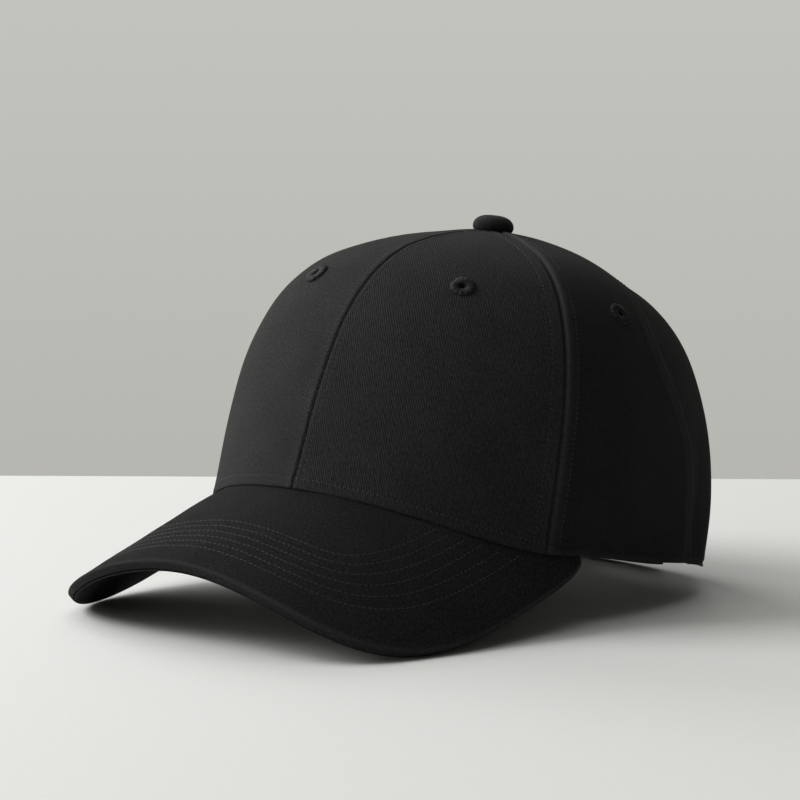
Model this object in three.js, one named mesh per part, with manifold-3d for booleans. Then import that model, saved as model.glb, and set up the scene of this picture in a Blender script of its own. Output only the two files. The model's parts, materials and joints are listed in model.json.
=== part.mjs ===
// Six-panel baseball cap with a pre-curved visor, a covered top button and a hook-and-loop closure.
//
// Millimetres, +Z up. The cap stands on z = 0 on both sides of its visor and on the closure strap,
// and faces -Y; +X is the wearer's left. Every piece is first laid out in the cap's own frame, where
// the rear rim is level, and one group then tilts the whole cap into its standing pose.
//
// The crown is one smooth surface crownPoint(turn, climb): turn is the angle round the head, 0 at the
// front and positive to the wearer's left, and climb runs from 0 at the rim to 1 under the button.
// Cloth pieces are sheets between two depths below that surface, so the layers never touch.

import * as THREE from "three";
import { mergeVertices } from "three/addons/utils/BufferGeometryUtils.js";
import Module from "manifold-3d";

const wasm = await Module();
wasm.setup();

// Crown
const RIM_HALF_LENGTH = 94;
const RIM_HALF_WIDTH = 88.5;
const REAR_FULLNESS = 0.08;
const CROWN_HEIGHT = 117;
const APEX_BACK = 6.8;
const REAR_DIP = 0.8;
const RIM_FAIRING = 0.25;
// Crown profile: front, rear and extra at the sides
const LEAN = { front: -0.11, rear: -0.04, side: 0.11 };
const RISE = { front: 0.52, rear: 0.44, side: -0.04 };
const SHOULDER = { front: 0.92, rear: 0.57, side: 0.3 };
const DOME = { front: 0.97, rear: 0.965, side: 0 };

// Panels
const SIDE_SEAM = 64;
const REAR_SEAM = 110;
const PANEL_TOP = 0.98;
const PANEL_ROWS = 14;
const SEAM_GAP = 0.4;
// Degrees that a rear seam bows forward at mid height and runs back at the rim
const SEAM_BOW = 13;
const BOW_CLIMB = 0.54;
const BOW_SPREAD = 0.22;
const SEAM_FLARE = 4;
const FLARE_CLIMB = 0.12;

// Visor
const VISOR_RISE = 14.7;
const VISOR_SLOPE = 0.484;
const VISOR_DROP = 37.6;
const VISOR_EDGE_DROP = 12.7;
const VISOR_HALF_WIDTH = 87.9;
const VISOR_REACH = 59;
const VISOR_WIDEST_Y = -40.7;
const VISOR_SQUARENESS = 0.616;
const VISOR_END = 73.9;
const VISOR_LAST_BEARING = 72.3;
const BOARD_END_COLUMNS = 4;
const VISOR_COLUMNS = 40;
const VISOR_END_BUNCHING = 0.4;
const VISOR_ROWS = 5;

// Depths below the outer surface, outer face first
const PANEL = [0, 0.8];
const BACKING = [1.3, 1.9];
const TAPE = [2.3, 2.8];
const BAND = [3.2, 4.2];
const STRAP = [2.4, 3.3];
const HOOK = [3.6, 4.2];
const LOOP = [4.5, 5.1];
const TAB = [5.4, 6.3];
const TOP_COVER = [0, 0.8];
const LIP_DEPTH = 3.2;
const BOARD = [1.1, 3.1];
const UNDER_COVER = [3.5, 4.3];

// Inner trims
const TAPE_HALF_WIDTH = 7;
const BAND_HEIGHT = 32;
const BAND_END = 146;
const BAND_COLUMNS = 50;

// Rear opening and closure
const OPENING_HALF_ANGLE = 28.5;
const OPENING_CLIMB = 0.3;
const BINDING_WIDTH = 10;
const STRAP_WIDTH = 20;
const STRAP_SAG = 5.2;
const SAG_HALF_ANGLE = 33;
const STRAP_SPAN = [155.5, 200];
const ANCHOR_SPAN = [201.4, 212.8];
const TAB_SPAN = [147.3, 183];
const HOOK_SPAN = [165, 181];
const LOOP_SPAN = [158, 181];
const PATCH_MARGIN = 2.5;

// Eyelets and button
const EYELET_HOLE_RADIUS = 1.4;
const EYELET_SHANK_RADIUS = 2.3;
const EYELET_RADIUS = 4.8;
const EYELET_STAND = 0.4;
const EYELET_PROUD = 1.0;
const EYELET_SEGMENTS = 20;
const BUTTON_RADIUS = 7.8;
const BUTTON_HEIGHT = 6;
const BUTTON_SEGMENTS = 28;
const RIVET_RADIUS = 1.6;
const RIVET_DISC_RADIUS = 6.5;

// Standing pose
const TILT = 9;
const LIFT = 20;
const CLEARANCE = 0.3;

const rad = THREE.MathUtils.degToRad;
const deg = THREE.MathUtils.radToDeg;
const lerp = THREE.MathUtils.lerp;

// Surfaces

function visorHeight(x, y) {
  const u = x / VISOR_HALF_WIDTH;
  const arch = VISOR_DROP * u ** 2 + VISOR_EDGE_DROP * u ** 4;
  return VISOR_RISE + VISOR_SLOPE * (y + RIM_HALF_LENGTH) - arch;
}

function rimPoint(turn) {
  const angle = rad(turn);
  const away = Math.abs(Math.atan2(Math.sin(angle), Math.cos(angle)));
  const end = rad(VISOR_END);
  const fullness = Math.cos(angle) < 0 ? REAR_FULLNESS : 0;
  const scale = 1 + fullness * Math.sin(2 * angle) ** 2;
  const x = RIM_HALF_WIDTH * Math.sin(angle) * scale;
  const y = -RIM_HALF_LENGTH * Math.cos(angle) * scale;
  if (away < end) return new THREE.Vector3(x, y, visorHeight(x, y));
  const endX = RIM_HALF_WIDTH * Math.sin(end);
  const endY = -RIM_HALF_LENGTH * Math.cos(end);
  const faired = visorHeight(endX, endY) * Math.exp((end - away) / RIM_FAIRING);
  const rear = Math.max(0, (away - 1.9) / (Math.PI - 1.9));
  return new THREE.Vector3(x, y, faired - REAR_DIP * rear ** 2);
}

function aroundHead(shape, turn) {
  const c = Math.cos(rad(turn));
  return (shape.front * (1 + c)) / 2 + (shape.rear * (1 - c)) / 2 + shape.side * (1 - c * c);
}

function crownPoint(turn, climb) {
  const rim = rimPoint(turn);
  const b0 = (1 - climb) ** 3;
  const b1 = 3 * climb * (1 - climb) ** 2;
  const b2 = 3 * climb ** 2 * (1 - climb);
  const b3 = climb ** 3;
  const spread = b0 + b1 * (1 + aroundHead(LEAN, turn)) + b2 * aroundHead(SHOULDER, turn);
  const height = b1 * aroundHead(RISE, turn) + b2 * aroundHead(DOME, turn) + b3;
  const x = rim.x * spread;
  const y = rim.y * spread + APEX_BACK * height;
  return new THREE.Vector3(x, y, rim.z + (CROWN_HEIGHT - rim.z) * height);
}

function crownNormal(turn, climb) {
  const across = crownPoint(turn + 0.05, climb).sub(crownPoint(turn - 0.05, climb));
  const up = crownPoint(turn, climb + 0.001).sub(crownPoint(turn, climb - 0.001));
  return across.cross(up).normalize();
}

function crownBelow(turn, climb, depth) {
  return crownPoint(turn, climb).addScaledVector(crownNormal(turn, climb), -depth);
}

// Angle in degrees that a length of cloth takes up round the crown at one height.
function turnFor(length, turn, climb) {
  const perDegree = crownPoint(turn + 0.5, climb).distanceTo(crownPoint(turn - 0.5, climb));
  return length / perDegree;
}

// Climb that a height above the rear rim stands for.
function climbFor(height) {
  return height / (3 * RISE.rear * CROWN_HEIGHT);
}

function openingClimb(turn) {
  const across = (180 - Math.abs(turn)) / OPENING_HALF_ANGLE;
  return across < 1 ? OPENING_CLIMB * Math.sqrt(1 - across ** 2) : 0;
}

// Turn of a cloth column at one height: columns near a rear seam follow its bow.
function alongSeams(turn, climb) {
  const away = Math.abs(turn);
  const edge = 180 - OPENING_HALF_ANGLE;
  const front = (away - SIDE_SEAM) / (REAR_SEAM - SIDE_SEAM);
  const rear = (edge - away) / (edge - REAR_SEAM);
  const share = Math.max(0, Math.min(front, rear));
  const bow = SEAM_BOW * Math.exp(-(((climb - BOW_CLIMB) / BOW_SPREAD) ** 2));
  const flare = SEAM_FLARE * Math.max(0, 1 - climb / FLARE_CLIMB);
  return Math.sign(turn) * (away + share * (flare - bow));
}

function visorOutline(step) {
  const angle = Math.min(step, 1) * (Math.PI / 2);
  if (step <= 1) {
    const reach = RIM_HALF_LENGTH + VISOR_REACH + VISOR_WIDEST_Y;
    const x = VISOR_HALF_WIDTH * Math.sin(angle) ** VISOR_SQUARENESS;
    return [x, VISOR_WIDEST_Y - reach * Math.cos(angle) ** VISOR_SQUARENESS];
  }
  const back = (step - 1) * (Math.PI / 2);
  const endX = RIM_HALF_WIDTH * Math.sin(rad(VISOR_END));
  const endY = -RIM_HALF_LENGTH * Math.cos(rad(VISOR_END));
  const x = endX + (VISOR_HALF_WIDTH - endX) * Math.cos(back);
  return [x, VISOR_WIDEST_Y + (endY - VISOR_WIDEST_Y) * Math.sin(back)];
}

// Point of the visor's outline in one direction, found by halving.
function outlineAt(bearing) {
  let low = 0;
  let high = 2;
  for (let i = 0; i < 40; i += 1) {
    const middle = (low + high) / 2;
    const [x, y] = visorOutline(middle);
    if (deg(Math.atan2(x, -y)) < Math.abs(bearing)) low = middle;
    else high = middle;
  }
  const [x, y] = visorOutline(low);
  return new THREE.Vector2(bearing < 0 ? -x : x, y);
}

function innerEdgeAt(bearing) {
  const b = rad(bearing);
  const turn = deg(Math.atan2(RIM_HALF_LENGTH * Math.sin(b), RIM_HALF_WIDTH * Math.cos(b)));
  const rim = rimPoint(turn);
  const edge = new THREE.Vector2(rim.x, rim.y);
  return edge.multiplyScalar(1 + CLEARANCE / edge.length());
}

function visorBelow(bearing, inset, share, depth) {
  const inner = innerEdgeAt(bearing);
  const outer = outlineAt(bearing);
  const length = inner.distanceTo(outer);
  const plan = inner.lerp(outer, share * (1 - inset / length));
  const at = new THREE.Vector3(plan.x, plan.y, visorHeight(plan.x, plan.y));
  const slopeX = (visorHeight(plan.x + 0.1, plan.y) - visorHeight(plan.x - 0.1, plan.y)) / 0.2;
  const normal = new THREE.Vector3(-slopeX, -VISOR_SLOPE, 1).normalize();
  return at.addScaledVector(normal, -depth);
}

// Solids

// Closed sheet between two grids of points, outer(i, j) and inner(i, j).
function sheet(columns, rows, outer, inner) {
  const points = [];
  const add = (p) => points.push(p.x, p.y, p.z) / 3 - 1;
  const grid = (face) =>
    Array.from({ length: columns + 1 }, (_, i) =>
      Array.from({ length: rows + 1 }, (_unused, j) => add(face(i, j))),
    );
  const top = grid(outer);
  const bottom = grid(inner);
  const faces = [];
  const quad = (a, b, c, d) => faces.push(a, b, c, a, c, d);
  for (let i = 0; i < columns; i += 1) {
    for (let j = 0; j < rows; j += 1) {
      quad(top[i][j], top[i + 1][j], top[i + 1][j + 1], top[i][j + 1]);
      quad(bottom[i][j], bottom[i][j + 1], bottom[i + 1][j + 1], bottom[i + 1][j]);
    }
    quad(top[i][0], bottom[i][0], bottom[i + 1][0], top[i + 1][0]);
    quad(top[i][rows], top[i + 1][rows], bottom[i + 1][rows], bottom[i][rows]);
  }
  for (let j = 0; j < rows; j += 1) {
    quad(top[0][j], top[0][j + 1], bottom[0][j + 1], bottom[0][j]);
    quad(top[columns][j], bottom[columns][j], bottom[columns][j + 1], top[columns][j + 1]);
  }
  return facingOut(points, faces);
}

function facingOut(points, faces) {
  const corner = (k) => new THREE.Vector3().fromArray(points, 3 * faces[k]);
  let volume = 0;
  for (let k = 0; k < faces.length; k += 3) {
    volume += corner(k).dot(corner(k + 1).cross(corner(k + 2)));
  }
  if (volume < 0) faces.reverse();
  const geometry = new THREE.BufferGeometry();
  geometry.setAttribute("position", new THREE.Float32BufferAttribute(points, 3));
  geometry.setIndex(faces);
  return geometry;
}

function toSolid(geometry) {
  const bare = geometry.clone();
  bare.deleteAttribute("normal");
  bare.deleteAttribute("uv");
  const merged = mergeVertices(bare);
  const vertProperties = new Float32Array(merged.getAttribute("position").array);
  const triVerts = new Uint32Array(merged.getIndex().array);
  return new wasm.Manifold(new wasm.Mesh({ numProp: 3, vertProperties, triVerts }));
}

function cut(geometry, tools) {
  let solid = toSolid(geometry);
  for (const tool of tools) solid = solid.subtract(toSolid(tool));
  const { vertProperties, triVerts } = solid.getMesh();
  const result = new THREE.BufferGeometry();
  result.setAttribute("position", new THREE.BufferAttribute(vertProperties, 3));
  result.setIndex(new THREE.BufferAttribute(triVerts, 1));
  return result;
}

function lathe(profile, segments) {
  const outline = [...profile, profile[0]].map(([r, z]) => new THREE.Vector2(r, z));
  return new THREE.LatheGeometry(outline, segments).rotateX(Math.PI / 2);
}

// Moves a piece made about +Z to a place on the crown, standing square to it.
function onCrown(geometry, turn, climb) {
  const up = new THREE.Vector3(0, 0, 1);
  const facing = new THREE.Quaternion().setFromUnitVectors(up, crownNormal(turn, climb));
  const at = crownPoint(turn, climb);
  return geometry.applyQuaternion(facing).translate(at.x, at.y, at.z);
}

// Everything under the plane that the cap stands on, in the cap's own frame.
function groundBlock() {
  const block = new THREE.BoxGeometry(500, 500, 40).translate(0, 0, -20 - LIFT);
  return block.rotateX(rad(TILT));
}

// Pieces

// Turn and climb of each eyelet
const EYELETS = {
  front_left: [34, 0.615],
  front_right: [-27, 0.597],
  side_left: [85.5, 0.615],
  side_right: [-85.5, 0.615],
  rear_left: [145, 0.615],
  rear_right: [-145, 0.615],
};

// Pin that pierces the cloth for the eyelet of one panel.
function eyeletHole(place, side) {
  const [turn, climb] = EYELETS[`${place}_${side > 0 ? "left" : "right"}`];
  const radius = EYELET_SHANK_RADIUS + CLEARANCE;
  const pin = new THREE.CylinderGeometry(radius, radius, 8, EYELET_SEGMENTS).rotateX(Math.PI / 2);
  return onCrown(pin, turn, climb);
}

// Sheet of crown cloth between two seams, its rows running up the crown from start(turn).
function crownSheet(turns, start, depths, inset = SEAM_GAP / 2) {
  const last = turns.length - 1;
  const place = (i, j) => {
    const climb = lerp(start(turns[i]), PANEL_TOP, j / PANEL_ROWS);
    const side = (Math.sign(turns[last] - turns[0]) * (last - 2 * i)) / last;
    return [alongSeams(turns[i], climb) + side * turnFor(inset, turns[i], climb), climb];
  };
  const face = (depth) => (i, j) => crownBelow(...place(i, j), depth);
  return sheet(last, PANEL_ROWS, face(depths[0]), face(depths[1]));
}

function evenTurns(from, to, count) {
  return Array.from({ length: count + 1 }, (_, i) => lerp(from, to, i / count));
}

// The front panels start just above the visor, so that its inner edge stays clear.
const frontStart = () => 0.008;

function frontPanel(side) {
  const panel = crownSheet(evenTurns(0, side * SIDE_SEAM, 8), frontStart, PANEL);
  return cut(panel, [eyeletHole("front", side)]);
}

function sidePanel(side) {
  const turns = evenTurns(side * SIDE_SEAM, side * REAR_SEAM, 6);
  const panel = crownSheet(turns, frontStart, PANEL);
  return cut(panel, [eyeletHole("side", side)]);
}

function rearPanel(side) {
  const archSteps = 8;
  const edge = 180 - OPENING_HALF_ANGLE;
  const flank = evenTurns(REAR_SEAM, edge, 7).slice(0, -1);
  const arch = Array.from({ length: archSteps + 1 }, (_, k) => {
    return 180 - OPENING_HALF_ANGLE * Math.cos((k / archSteps) * (Math.PI / 2));
  });
  const turns = [...flank, ...arch].map((turn) => side * turn);
  const panel = crownSheet(turns, openingClimb, PANEL);
  return cut(panel, [eyeletHole("rear", side)]);
}

function frontBacking(side) {
  const turns = evenTurns(0, side * SIDE_SEAM, 8);
  const backing = crownSheet(turns, frontStart, BACKING, 1);
  return cut(backing, [eyeletHole("front", side)]);
}

function seamTape(turn, start, firstRow) {
  const lastRow = 11;
  const place = (i, j) => {
    const climb = lerp(start, PANEL_TOP, (firstRow + j) / PANEL_ROWS);
    return [alongSeams(turn, climb) + (i - 1) * turnFor(TAPE_HALF_WIDTH, turn, climb), climb];
  };
  const face = (depth) => (i, j) => crownBelow(...place(i, j), depth);
  return sheet(2, lastRow - firstRow, face(TAPE[0]), face(TAPE[1]));
}

function sweatband() {
  const rows = 3;
  const climbs = climbFor(BAND_HEIGHT);
  const place = (i, j) => [
    lerp(-BAND_END, BAND_END, i / BAND_COLUMNS),
    lerp(0.01, climbs, j / rows),
  ];
  const face = (depth) => (i, j) => crownBelow(...place(i, j), depth);
  return sheet(BAND_COLUMNS, rows, face(BAND[0]), face(BAND[1]));
}

function openingBinding() {
  const steps = 16;
  const widen = turnFor(BINDING_WIDTH, 180 - OPENING_HALF_ANGLE, 0);
  const face = (depth) => (i, j) => {
    const around = rad(lerp(-90, 90, i / steps));
    const share = j / 2;
    const turn = 180 + (OPENING_HALF_ANGLE + widen * share) * Math.sin(around);
    const climb = (OPENING_CLIMB + climbFor(BINDING_WIDTH) * share) * Math.cos(around);
    return crownBelow(turn, climb, depth);
  };
  return sheet(steps, 2, face(BACKING[0]), face(BACKING[1]));
}

// The strap lies low as far as its free end, and rises to its sewn end.
function strapSag(turn) {
  const away = (turn - 180) / SAG_HALF_ANGLE;
  const rise = away < 0 ? away ** 6 : 1 - Math.cos((Math.PI / 2) * away);
  return -STRAP_SAG * (1 - rise);
}

// Flat band across the rear opening, margin in from both edges of the strap's width.
function closureBand(span, depths, margin, columns) {
  const rows = 2;
  const face = (depth) => (i, j) => {
    const turn = lerp(span[0], span[1], i / columns);
    const height = strapSag(turn) + lerp(margin, STRAP_WIDTH - margin, j / rows);
    return crownBelow(turn, climbFor(height), depth);
  };
  return sheet(columns, rows, face(depths[0]), face(depths[1]));
}

// Bearings closer together towards the visor's ends, where its outline turns.
function visorBearing(i) {
  const share = lerp(-1, 1, i / VISOR_COLUMNS);
  return VISOR_LAST_BEARING * lerp(share, Math.sin(share * (Math.PI / 2)), VISOR_END_BUNCHING);
}

// One layer of the visor, inset from its outline and shorter by some columns at both ends.
function visorLayer(depths, inset, endColumns) {
  const face = (depth) => (i, j) =>
    visorBelow(visorBearing(i + endColumns), inset, j / VISOR_ROWS, depth);
  const columns = VISOR_COLUMNS - 2 * endColumns;
  return sheet(columns, VISOR_ROWS, face(depths[0]), face(depths[1]));
}

// The top cover turns down over the visor's edge, so its rows go on down the lip.
function visorTopCover() {
  const lipRows = [lerp(TOP_COVER[1], LIP_DEPTH, 0.5), LIP_DEPTH];
  const face = (depth, inset) => (i, j) => {
    const bearing = visorBearing(i);
    const row = Math.min(j, VISOR_ROWS);
    const down = j > VISOR_ROWS ? lipRows[j - VISOR_ROWS - 1] : depth;
    return visorBelow(bearing, inset, row / VISOR_ROWS, down);
  };
  const rows = VISOR_ROWS + lipRows.length;
  const outer = face(TOP_COVER[0], 0);
  const inner = face(TOP_COVER[1], TOP_COVER[1]);
  return sheet(VISOR_COLUMNS, rows, outer, inner);
}

// The front eyelets also pass through the stiff backing.
function eyelet(name) {
  const [turn, climb] = EYELETS[name];
  const bottom = -(name.startsWith("front") ? BACKING[1] : PANEL[1]) - CLEARANCE;
  const profile = [
    [EYELET_HOLE_RADIUS, bottom],
    [EYELET_SHANK_RADIUS, bottom],
    [EYELET_SHANK_RADIUS, EYELET_STAND],
    [EYELET_RADIUS, EYELET_STAND],
    [EYELET_RADIUS - 0.5, EYELET_PROUD],
    [EYELET_SHANK_RADIUS, EYELET_PROUD + 0.2],
    [EYELET_HOLE_RADIUS, EYELET_PROUD - 0.4],
  ];
  return onCrown(lathe(profile, EYELET_SEGMENTS), turn, climb);
}

// Button parts are turned about the crown's top; heights are above its highest point.
function domeProfile(radius, base, top, steps) {
  return Array.from({ length: steps + 1 }, (_, k) => {
    const angle = (k / steps) * (Math.PI / 2);
    const r = radius * Math.cos(angle) ** 0.6;
    return [k === steps ? 0 : r, base + (top - base) * Math.sin(angle) ** 0.9];
  });
}

function buttonShell(radius, base, top, thickness) {
  const outside = domeProfile(radius, base, top, 7);
  const inside = domeProfile(radius - thickness, base, top - thickness, 7).reverse();
  return lathe([...outside, ...inside], BUTTON_SEGMENTS);
}

function buttonRivet() {
  const under = -PANEL[1] - 3.4;
  const profile = [
    [0, under - 1],
    [RIVET_DISC_RADIUS, under - 1],
    [RIVET_DISC_RADIUS, under],
    [RIVET_RADIUS, under],
    [RIVET_RADIUS, 1.5],
    [RIVET_DISC_RADIUS - 1, 1.5],
    [RIVET_DISC_RADIUS - 1, 2.3],
    [0, 2.3],
  ];
  return lathe(profile, BUTTON_SEGMENTS);
}

function atTop(geometry) {
  return geometry.translate(0, APEX_BACK, CROWN_HEIGHT);
}

// Materials

const shellCloth = { color: 0x1b1b1c, roughness: 0.92, metalness: 0 };
const visorCloth = { color: 0x171718, roughness: 0.95, metalness: 0 };
const trimTape = { color: 0x141415, roughness: 0.9, metalness: 0 };
const stiffener = { color: 0x2a2a2b, roughness: 0.95, metalness: 0 };
const thread = { color: 0x202021, roughness: 0.8, metalness: 0 };
const boardPlastic = { color: 0x3a3a3c, roughness: 0.6, metalness: 0 };
const fastener = { color: 0x101011, roughness: 0.85, metalness: 0 };
const metal = { color: 0x8a8c90, roughness: 0.4, metalness: 1 };

const cap = new THREE.Group();

function addPiece(name, geometry, finish) {
  const mesh = new THREE.Mesh(geometry, new THREE.MeshStandardMaterial(finish));
  mesh.name = name;
  cap.add(mesh);
}

// Assembly

for (const [name, side] of [["left", 1], ["right", -1]]) {
  addPiece(`front_panel_${name}`, frontPanel(side), shellCloth);
  addPiece(`side_panel_${name}`, sidePanel(side), shellCloth);
  addPiece(`rear_panel_${name}`, rearPanel(side), shellCloth);
  addPiece(`front_buckram_${name}`, frontBacking(side), stiffener);
  addPiece(`seam_tape_side_${name}`, seamTape(side * SIDE_SEAM, 0, 1), trimTape);
  addPiece(`seam_tape_back_${name}`, seamTape(side * REAR_SEAM, 0, 1), trimTape);
}
addPiece("seam_tape_front_centre", seamTape(0, 0, 1), trimTape);
addPiece("seam_tape_rear_centre", seamTape(180, OPENING_CLIMB, 1), trimTape);
addPiece("sweatband", sweatband(), trimTape);
addPiece("rear_opening_binding", openingBinding(), trimTape);

for (const name of Object.keys(EYELETS)) {
  addPiece(`eyelet_${name}`, eyelet(name), thread);
}

const ground = groundBlock();
const underCover = visorLayer(UNDER_COVER, 0, 0);
addPiece("visor_top_cover", visorTopCover(), visorCloth);
addPiece("visor_board", visorLayer(BOARD, 1.6, BOARD_END_COLUMNS), boardPlastic);
addPiece("visor_under_cover", cut(underCover, [ground]), visorCloth);

addPiece("strap_anchor", closureBand(ANCHOR_SPAN, STRAP, 0, 4), trimTape);
addPiece("closure_strap", cut(closureBand(STRAP_SPAN, STRAP, 0, 14), [ground]), trimTape);
addPiece("hook_patch", closureBand(HOOK_SPAN, HOOK, PATCH_MARGIN, 5), fastener);
addPiece("loop_patch", closureBand(LOOP_SPAN, LOOP, PATCH_MARGIN, 7), fastener);
addPiece("closure_tab", cut(closureBand(TAB_SPAN, TAB, 0, 13), [ground]), trimTape);

const coverBase = CLEARANCE;
addPiece("button_cover", atTop(buttonShell(BUTTON_RADIUS, coverBase, BUTTON_HEIGHT, 0.8)), shellCloth);
const shellTop = BUTTON_HEIGHT - 0.8 - CLEARANCE;
const shellRadius = BUTTON_RADIUS - 0.8 - CLEARANCE;
addPiece("button_shell", atTop(buttonShell(shellRadius, coverBase, shellTop, 0.5)), metal);
addPiece("button_rivet", atTop(buttonRivet()), metal);

cap.rotation.x = -rad(TILT);
cap.position.z = LIFT;
const standing = new THREE.Group();
standing.add(cap);
standing.updateMatrixWorld(true);
const box = new THREE.Box3().setFromObject(standing, true);
cap.position.y = -(box.min.y + box.max.y) / 2;

export default standing;
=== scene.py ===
import json
import math

import bpy
import numpy as np
from mathutils import Matrix, Vector

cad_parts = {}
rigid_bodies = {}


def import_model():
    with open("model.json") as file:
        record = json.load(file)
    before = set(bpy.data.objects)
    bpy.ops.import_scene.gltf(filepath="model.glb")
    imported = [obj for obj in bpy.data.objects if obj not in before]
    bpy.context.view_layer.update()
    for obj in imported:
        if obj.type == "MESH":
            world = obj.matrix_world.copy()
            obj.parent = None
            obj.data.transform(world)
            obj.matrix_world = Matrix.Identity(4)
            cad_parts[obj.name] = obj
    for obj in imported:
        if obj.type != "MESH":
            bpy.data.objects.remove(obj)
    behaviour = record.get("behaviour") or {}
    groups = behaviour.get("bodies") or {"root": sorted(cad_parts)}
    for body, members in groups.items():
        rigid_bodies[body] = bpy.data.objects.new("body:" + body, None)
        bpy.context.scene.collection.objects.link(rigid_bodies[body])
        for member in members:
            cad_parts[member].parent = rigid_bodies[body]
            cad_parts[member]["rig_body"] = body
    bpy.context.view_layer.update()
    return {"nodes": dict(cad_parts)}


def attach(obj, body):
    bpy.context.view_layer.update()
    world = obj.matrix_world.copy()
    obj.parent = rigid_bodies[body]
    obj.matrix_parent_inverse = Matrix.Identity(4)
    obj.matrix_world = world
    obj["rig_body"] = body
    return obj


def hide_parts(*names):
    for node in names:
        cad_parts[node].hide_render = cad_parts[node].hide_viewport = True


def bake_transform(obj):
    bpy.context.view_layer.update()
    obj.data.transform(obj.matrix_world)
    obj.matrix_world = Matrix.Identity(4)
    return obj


# Looks for the six-panel cap. Cloth is laid out in millimetres in the cap's own frame, where the rear rim
# is level, and to_world() stands it on the floor in metres. turn is the angle round the head in degrees,
# 0 at the front and positive to the wearer's left; climb runs from 0 at the rim to 1 under the button.

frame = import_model()
rng = np.random.default_rng(7)

# Camera
VIEW_AZIMUTH = 40.32
VIEW_ELEVATION = 8.48
VIEW_ROLL = 0.26
VIEW_DISTANCE = 2.0
VIEW_CENTRE = (-0.0247, 0.0308, 0.0697)
LENS = 235.65
LEVEL_RIGHT = Vector((math.cos(math.radians(VIEW_AZIMUTH)), math.sin(math.radians(VIEW_AZIMUTH)), 0))
LEVEL_AWAY = Vector((-LEVEL_RIGHT.y, LEVEL_RIGHT.x, 0))


def direction(azimuth, elevation):
    a, e = math.radians(azimuth), math.radians(elevation)
    return Vector((math.sin(a) * math.cos(e), -math.cos(a) * math.cos(e), math.sin(e)))


def add_camera():
    back = direction(VIEW_AZIMUTH, VIEW_ELEVATION)
    level_up = back.cross(LEVEL_RIGHT)
    roll = math.radians(VIEW_ROLL)
    right = LEVEL_RIGHT * math.cos(roll) + level_up * math.sin(roll)
    up = level_up * math.cos(roll) - LEVEL_RIGHT * math.sin(roll)
    place = Vector(VIEW_CENTRE) + back * VIEW_DISTANCE
    data = bpy.data.cameras.new("camera")
    data.lens = LENS
    data.sensor_width = 36
    data.clip_start = 0.05
    data.clip_end = 50
    camera = bpy.data.objects.new("camera", data)
    bpy.context.scene.collection.objects.link(camera)
    camera.matrix_world = Matrix([(right[k], up[k], back[k], place[k]) for k in range(3)] + [(0, 0, 0, 1)])
    bpy.context.scene.camera = camera


add_camera()

# Crown and visor surfaces, as in the CAD model
RIM_HALF_LENGTH = 94
RIM_HALF_WIDTH = 88.5
REAR_FULLNESS = 0.08
CROWN_HEIGHT = 117
APEX_BACK = 6.8
REAR_DIP = 0.8
REAR_DIP_START = 1.9
RIM_FAIRING = 0.25
LEAN = (-0.11, -0.04, 0.11)
RISE = (0.52, 0.44, -0.04)
SHOULDER = (0.92, 0.57, 0.3)
DOME = (0.97, 0.965, 0)
SIDE_SEAM = 64
REAR_SEAM = 110
PANEL_TOP = 0.98
SEAM_BOW = 13
BOW_CLIMB = 0.54
BOW_SPREAD = 0.22
SEAM_FLARE = 4
FLARE_CLIMB = 0.12
VISOR_RISE = 14.7
VISOR_SLOPE = 0.484
VISOR_DROP = 37.6
VISOR_EDGE_DROP = 12.7
VISOR_HALF_WIDTH = 87.9
VISOR_REACH = 59
VISOR_WIDEST_Y = -40.7
VISOR_SQUARENESS = 0.616
VISOR_END = 73.9
VISOR_LAST_BEARING = 72.3
# Depth of the visor's underside, radius of its turned edge, and depth of the top cover's lip
UNDERSIDE = 4.3
CORNER = 0.9
LIP = 3.25
OPENING_HALF_ANGLE = 28.5
OPENING_CLIMB = 0.3
OPENING_EDGE = 180 - OPENING_HALF_ANGLE
# The closure, whose spans are given in turns
STRAP_WIDTH = 20
STRAP_SAG = 5.2
SAG_HALF_ANGLE = 33
STRAP_SPAN = (155.5, 212.8)
TAB_SPAN = (147.3, 183)
HOOK_SPAN = (165, 181)
LOOP_SPAN = (158, 181)
PATCH_MARGIN = 2.5
# Turn and climb of each eyelet
EYELETS = {
    "front_left": (34, 0.615),
    "front_right": (-27, 0.597),
    "side_left": (85.5, 0.615),
    "side_right": (-85.5, 0.615),
    "rear_left": (145, 0.615),
    "rear_right": (-145, 0.615),
}
EYELET_SPOKES = 34
# Radius of the hole in the cloth round an eyelet
SHANK_REACH = 2.7
BUTTON_RADIUS = 7.8
BUTTON_HEIGHT = 6
BUTTON_SEAT = 1.7
BUTTON_SQUARENESS = 0.72
BAND_HEIGHT = 32
BAND_END = 146
TAPE_HALF_WIDTH = 7
TAPE_LOW = 0.07
TAPE_HIGH = 0.94
TILT = math.radians(9)
LIFT = 20
STAND_BACK = 30.766
# Rough lengths in millimetres: a whole climb, the reach of the rear opening and a degree along the strap
CROWN_ARC = 155
OPENING_REACH = 46.5
STRAP_TURN = 1.63

# Sewing
CLOTH = 0.8
TOPSTITCH = 5.2
# Distance of the topstitching from each seam
SEAM_STITCH = {0: 3.5, SIDE_SEAM: 5.2, -SIDE_SEAM: 5.2, REAR_SEAM: 5.2, -REAR_SEAM: 5.2, 180: 5.2}
# Climbs between which a row runs beside a seam, and the most degrees it may lie from it
ROW_LOW = 0.028
ROW_HIGH = 0.955
NARROWEST = 24
RIM_STITCH = 4.3
PANEL_START = 0.0025
HEM_DROP = 1.3
HEM_DROP_TURN = 124
HEM_DROP_WIDTH = 7
ARCH_STITCHES = (2.2, 8.6)
BAND_STITCHES = (2.6, 29.5)
VISOR_ROWS = 12 + 4.06 * np.arange(6)
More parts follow.
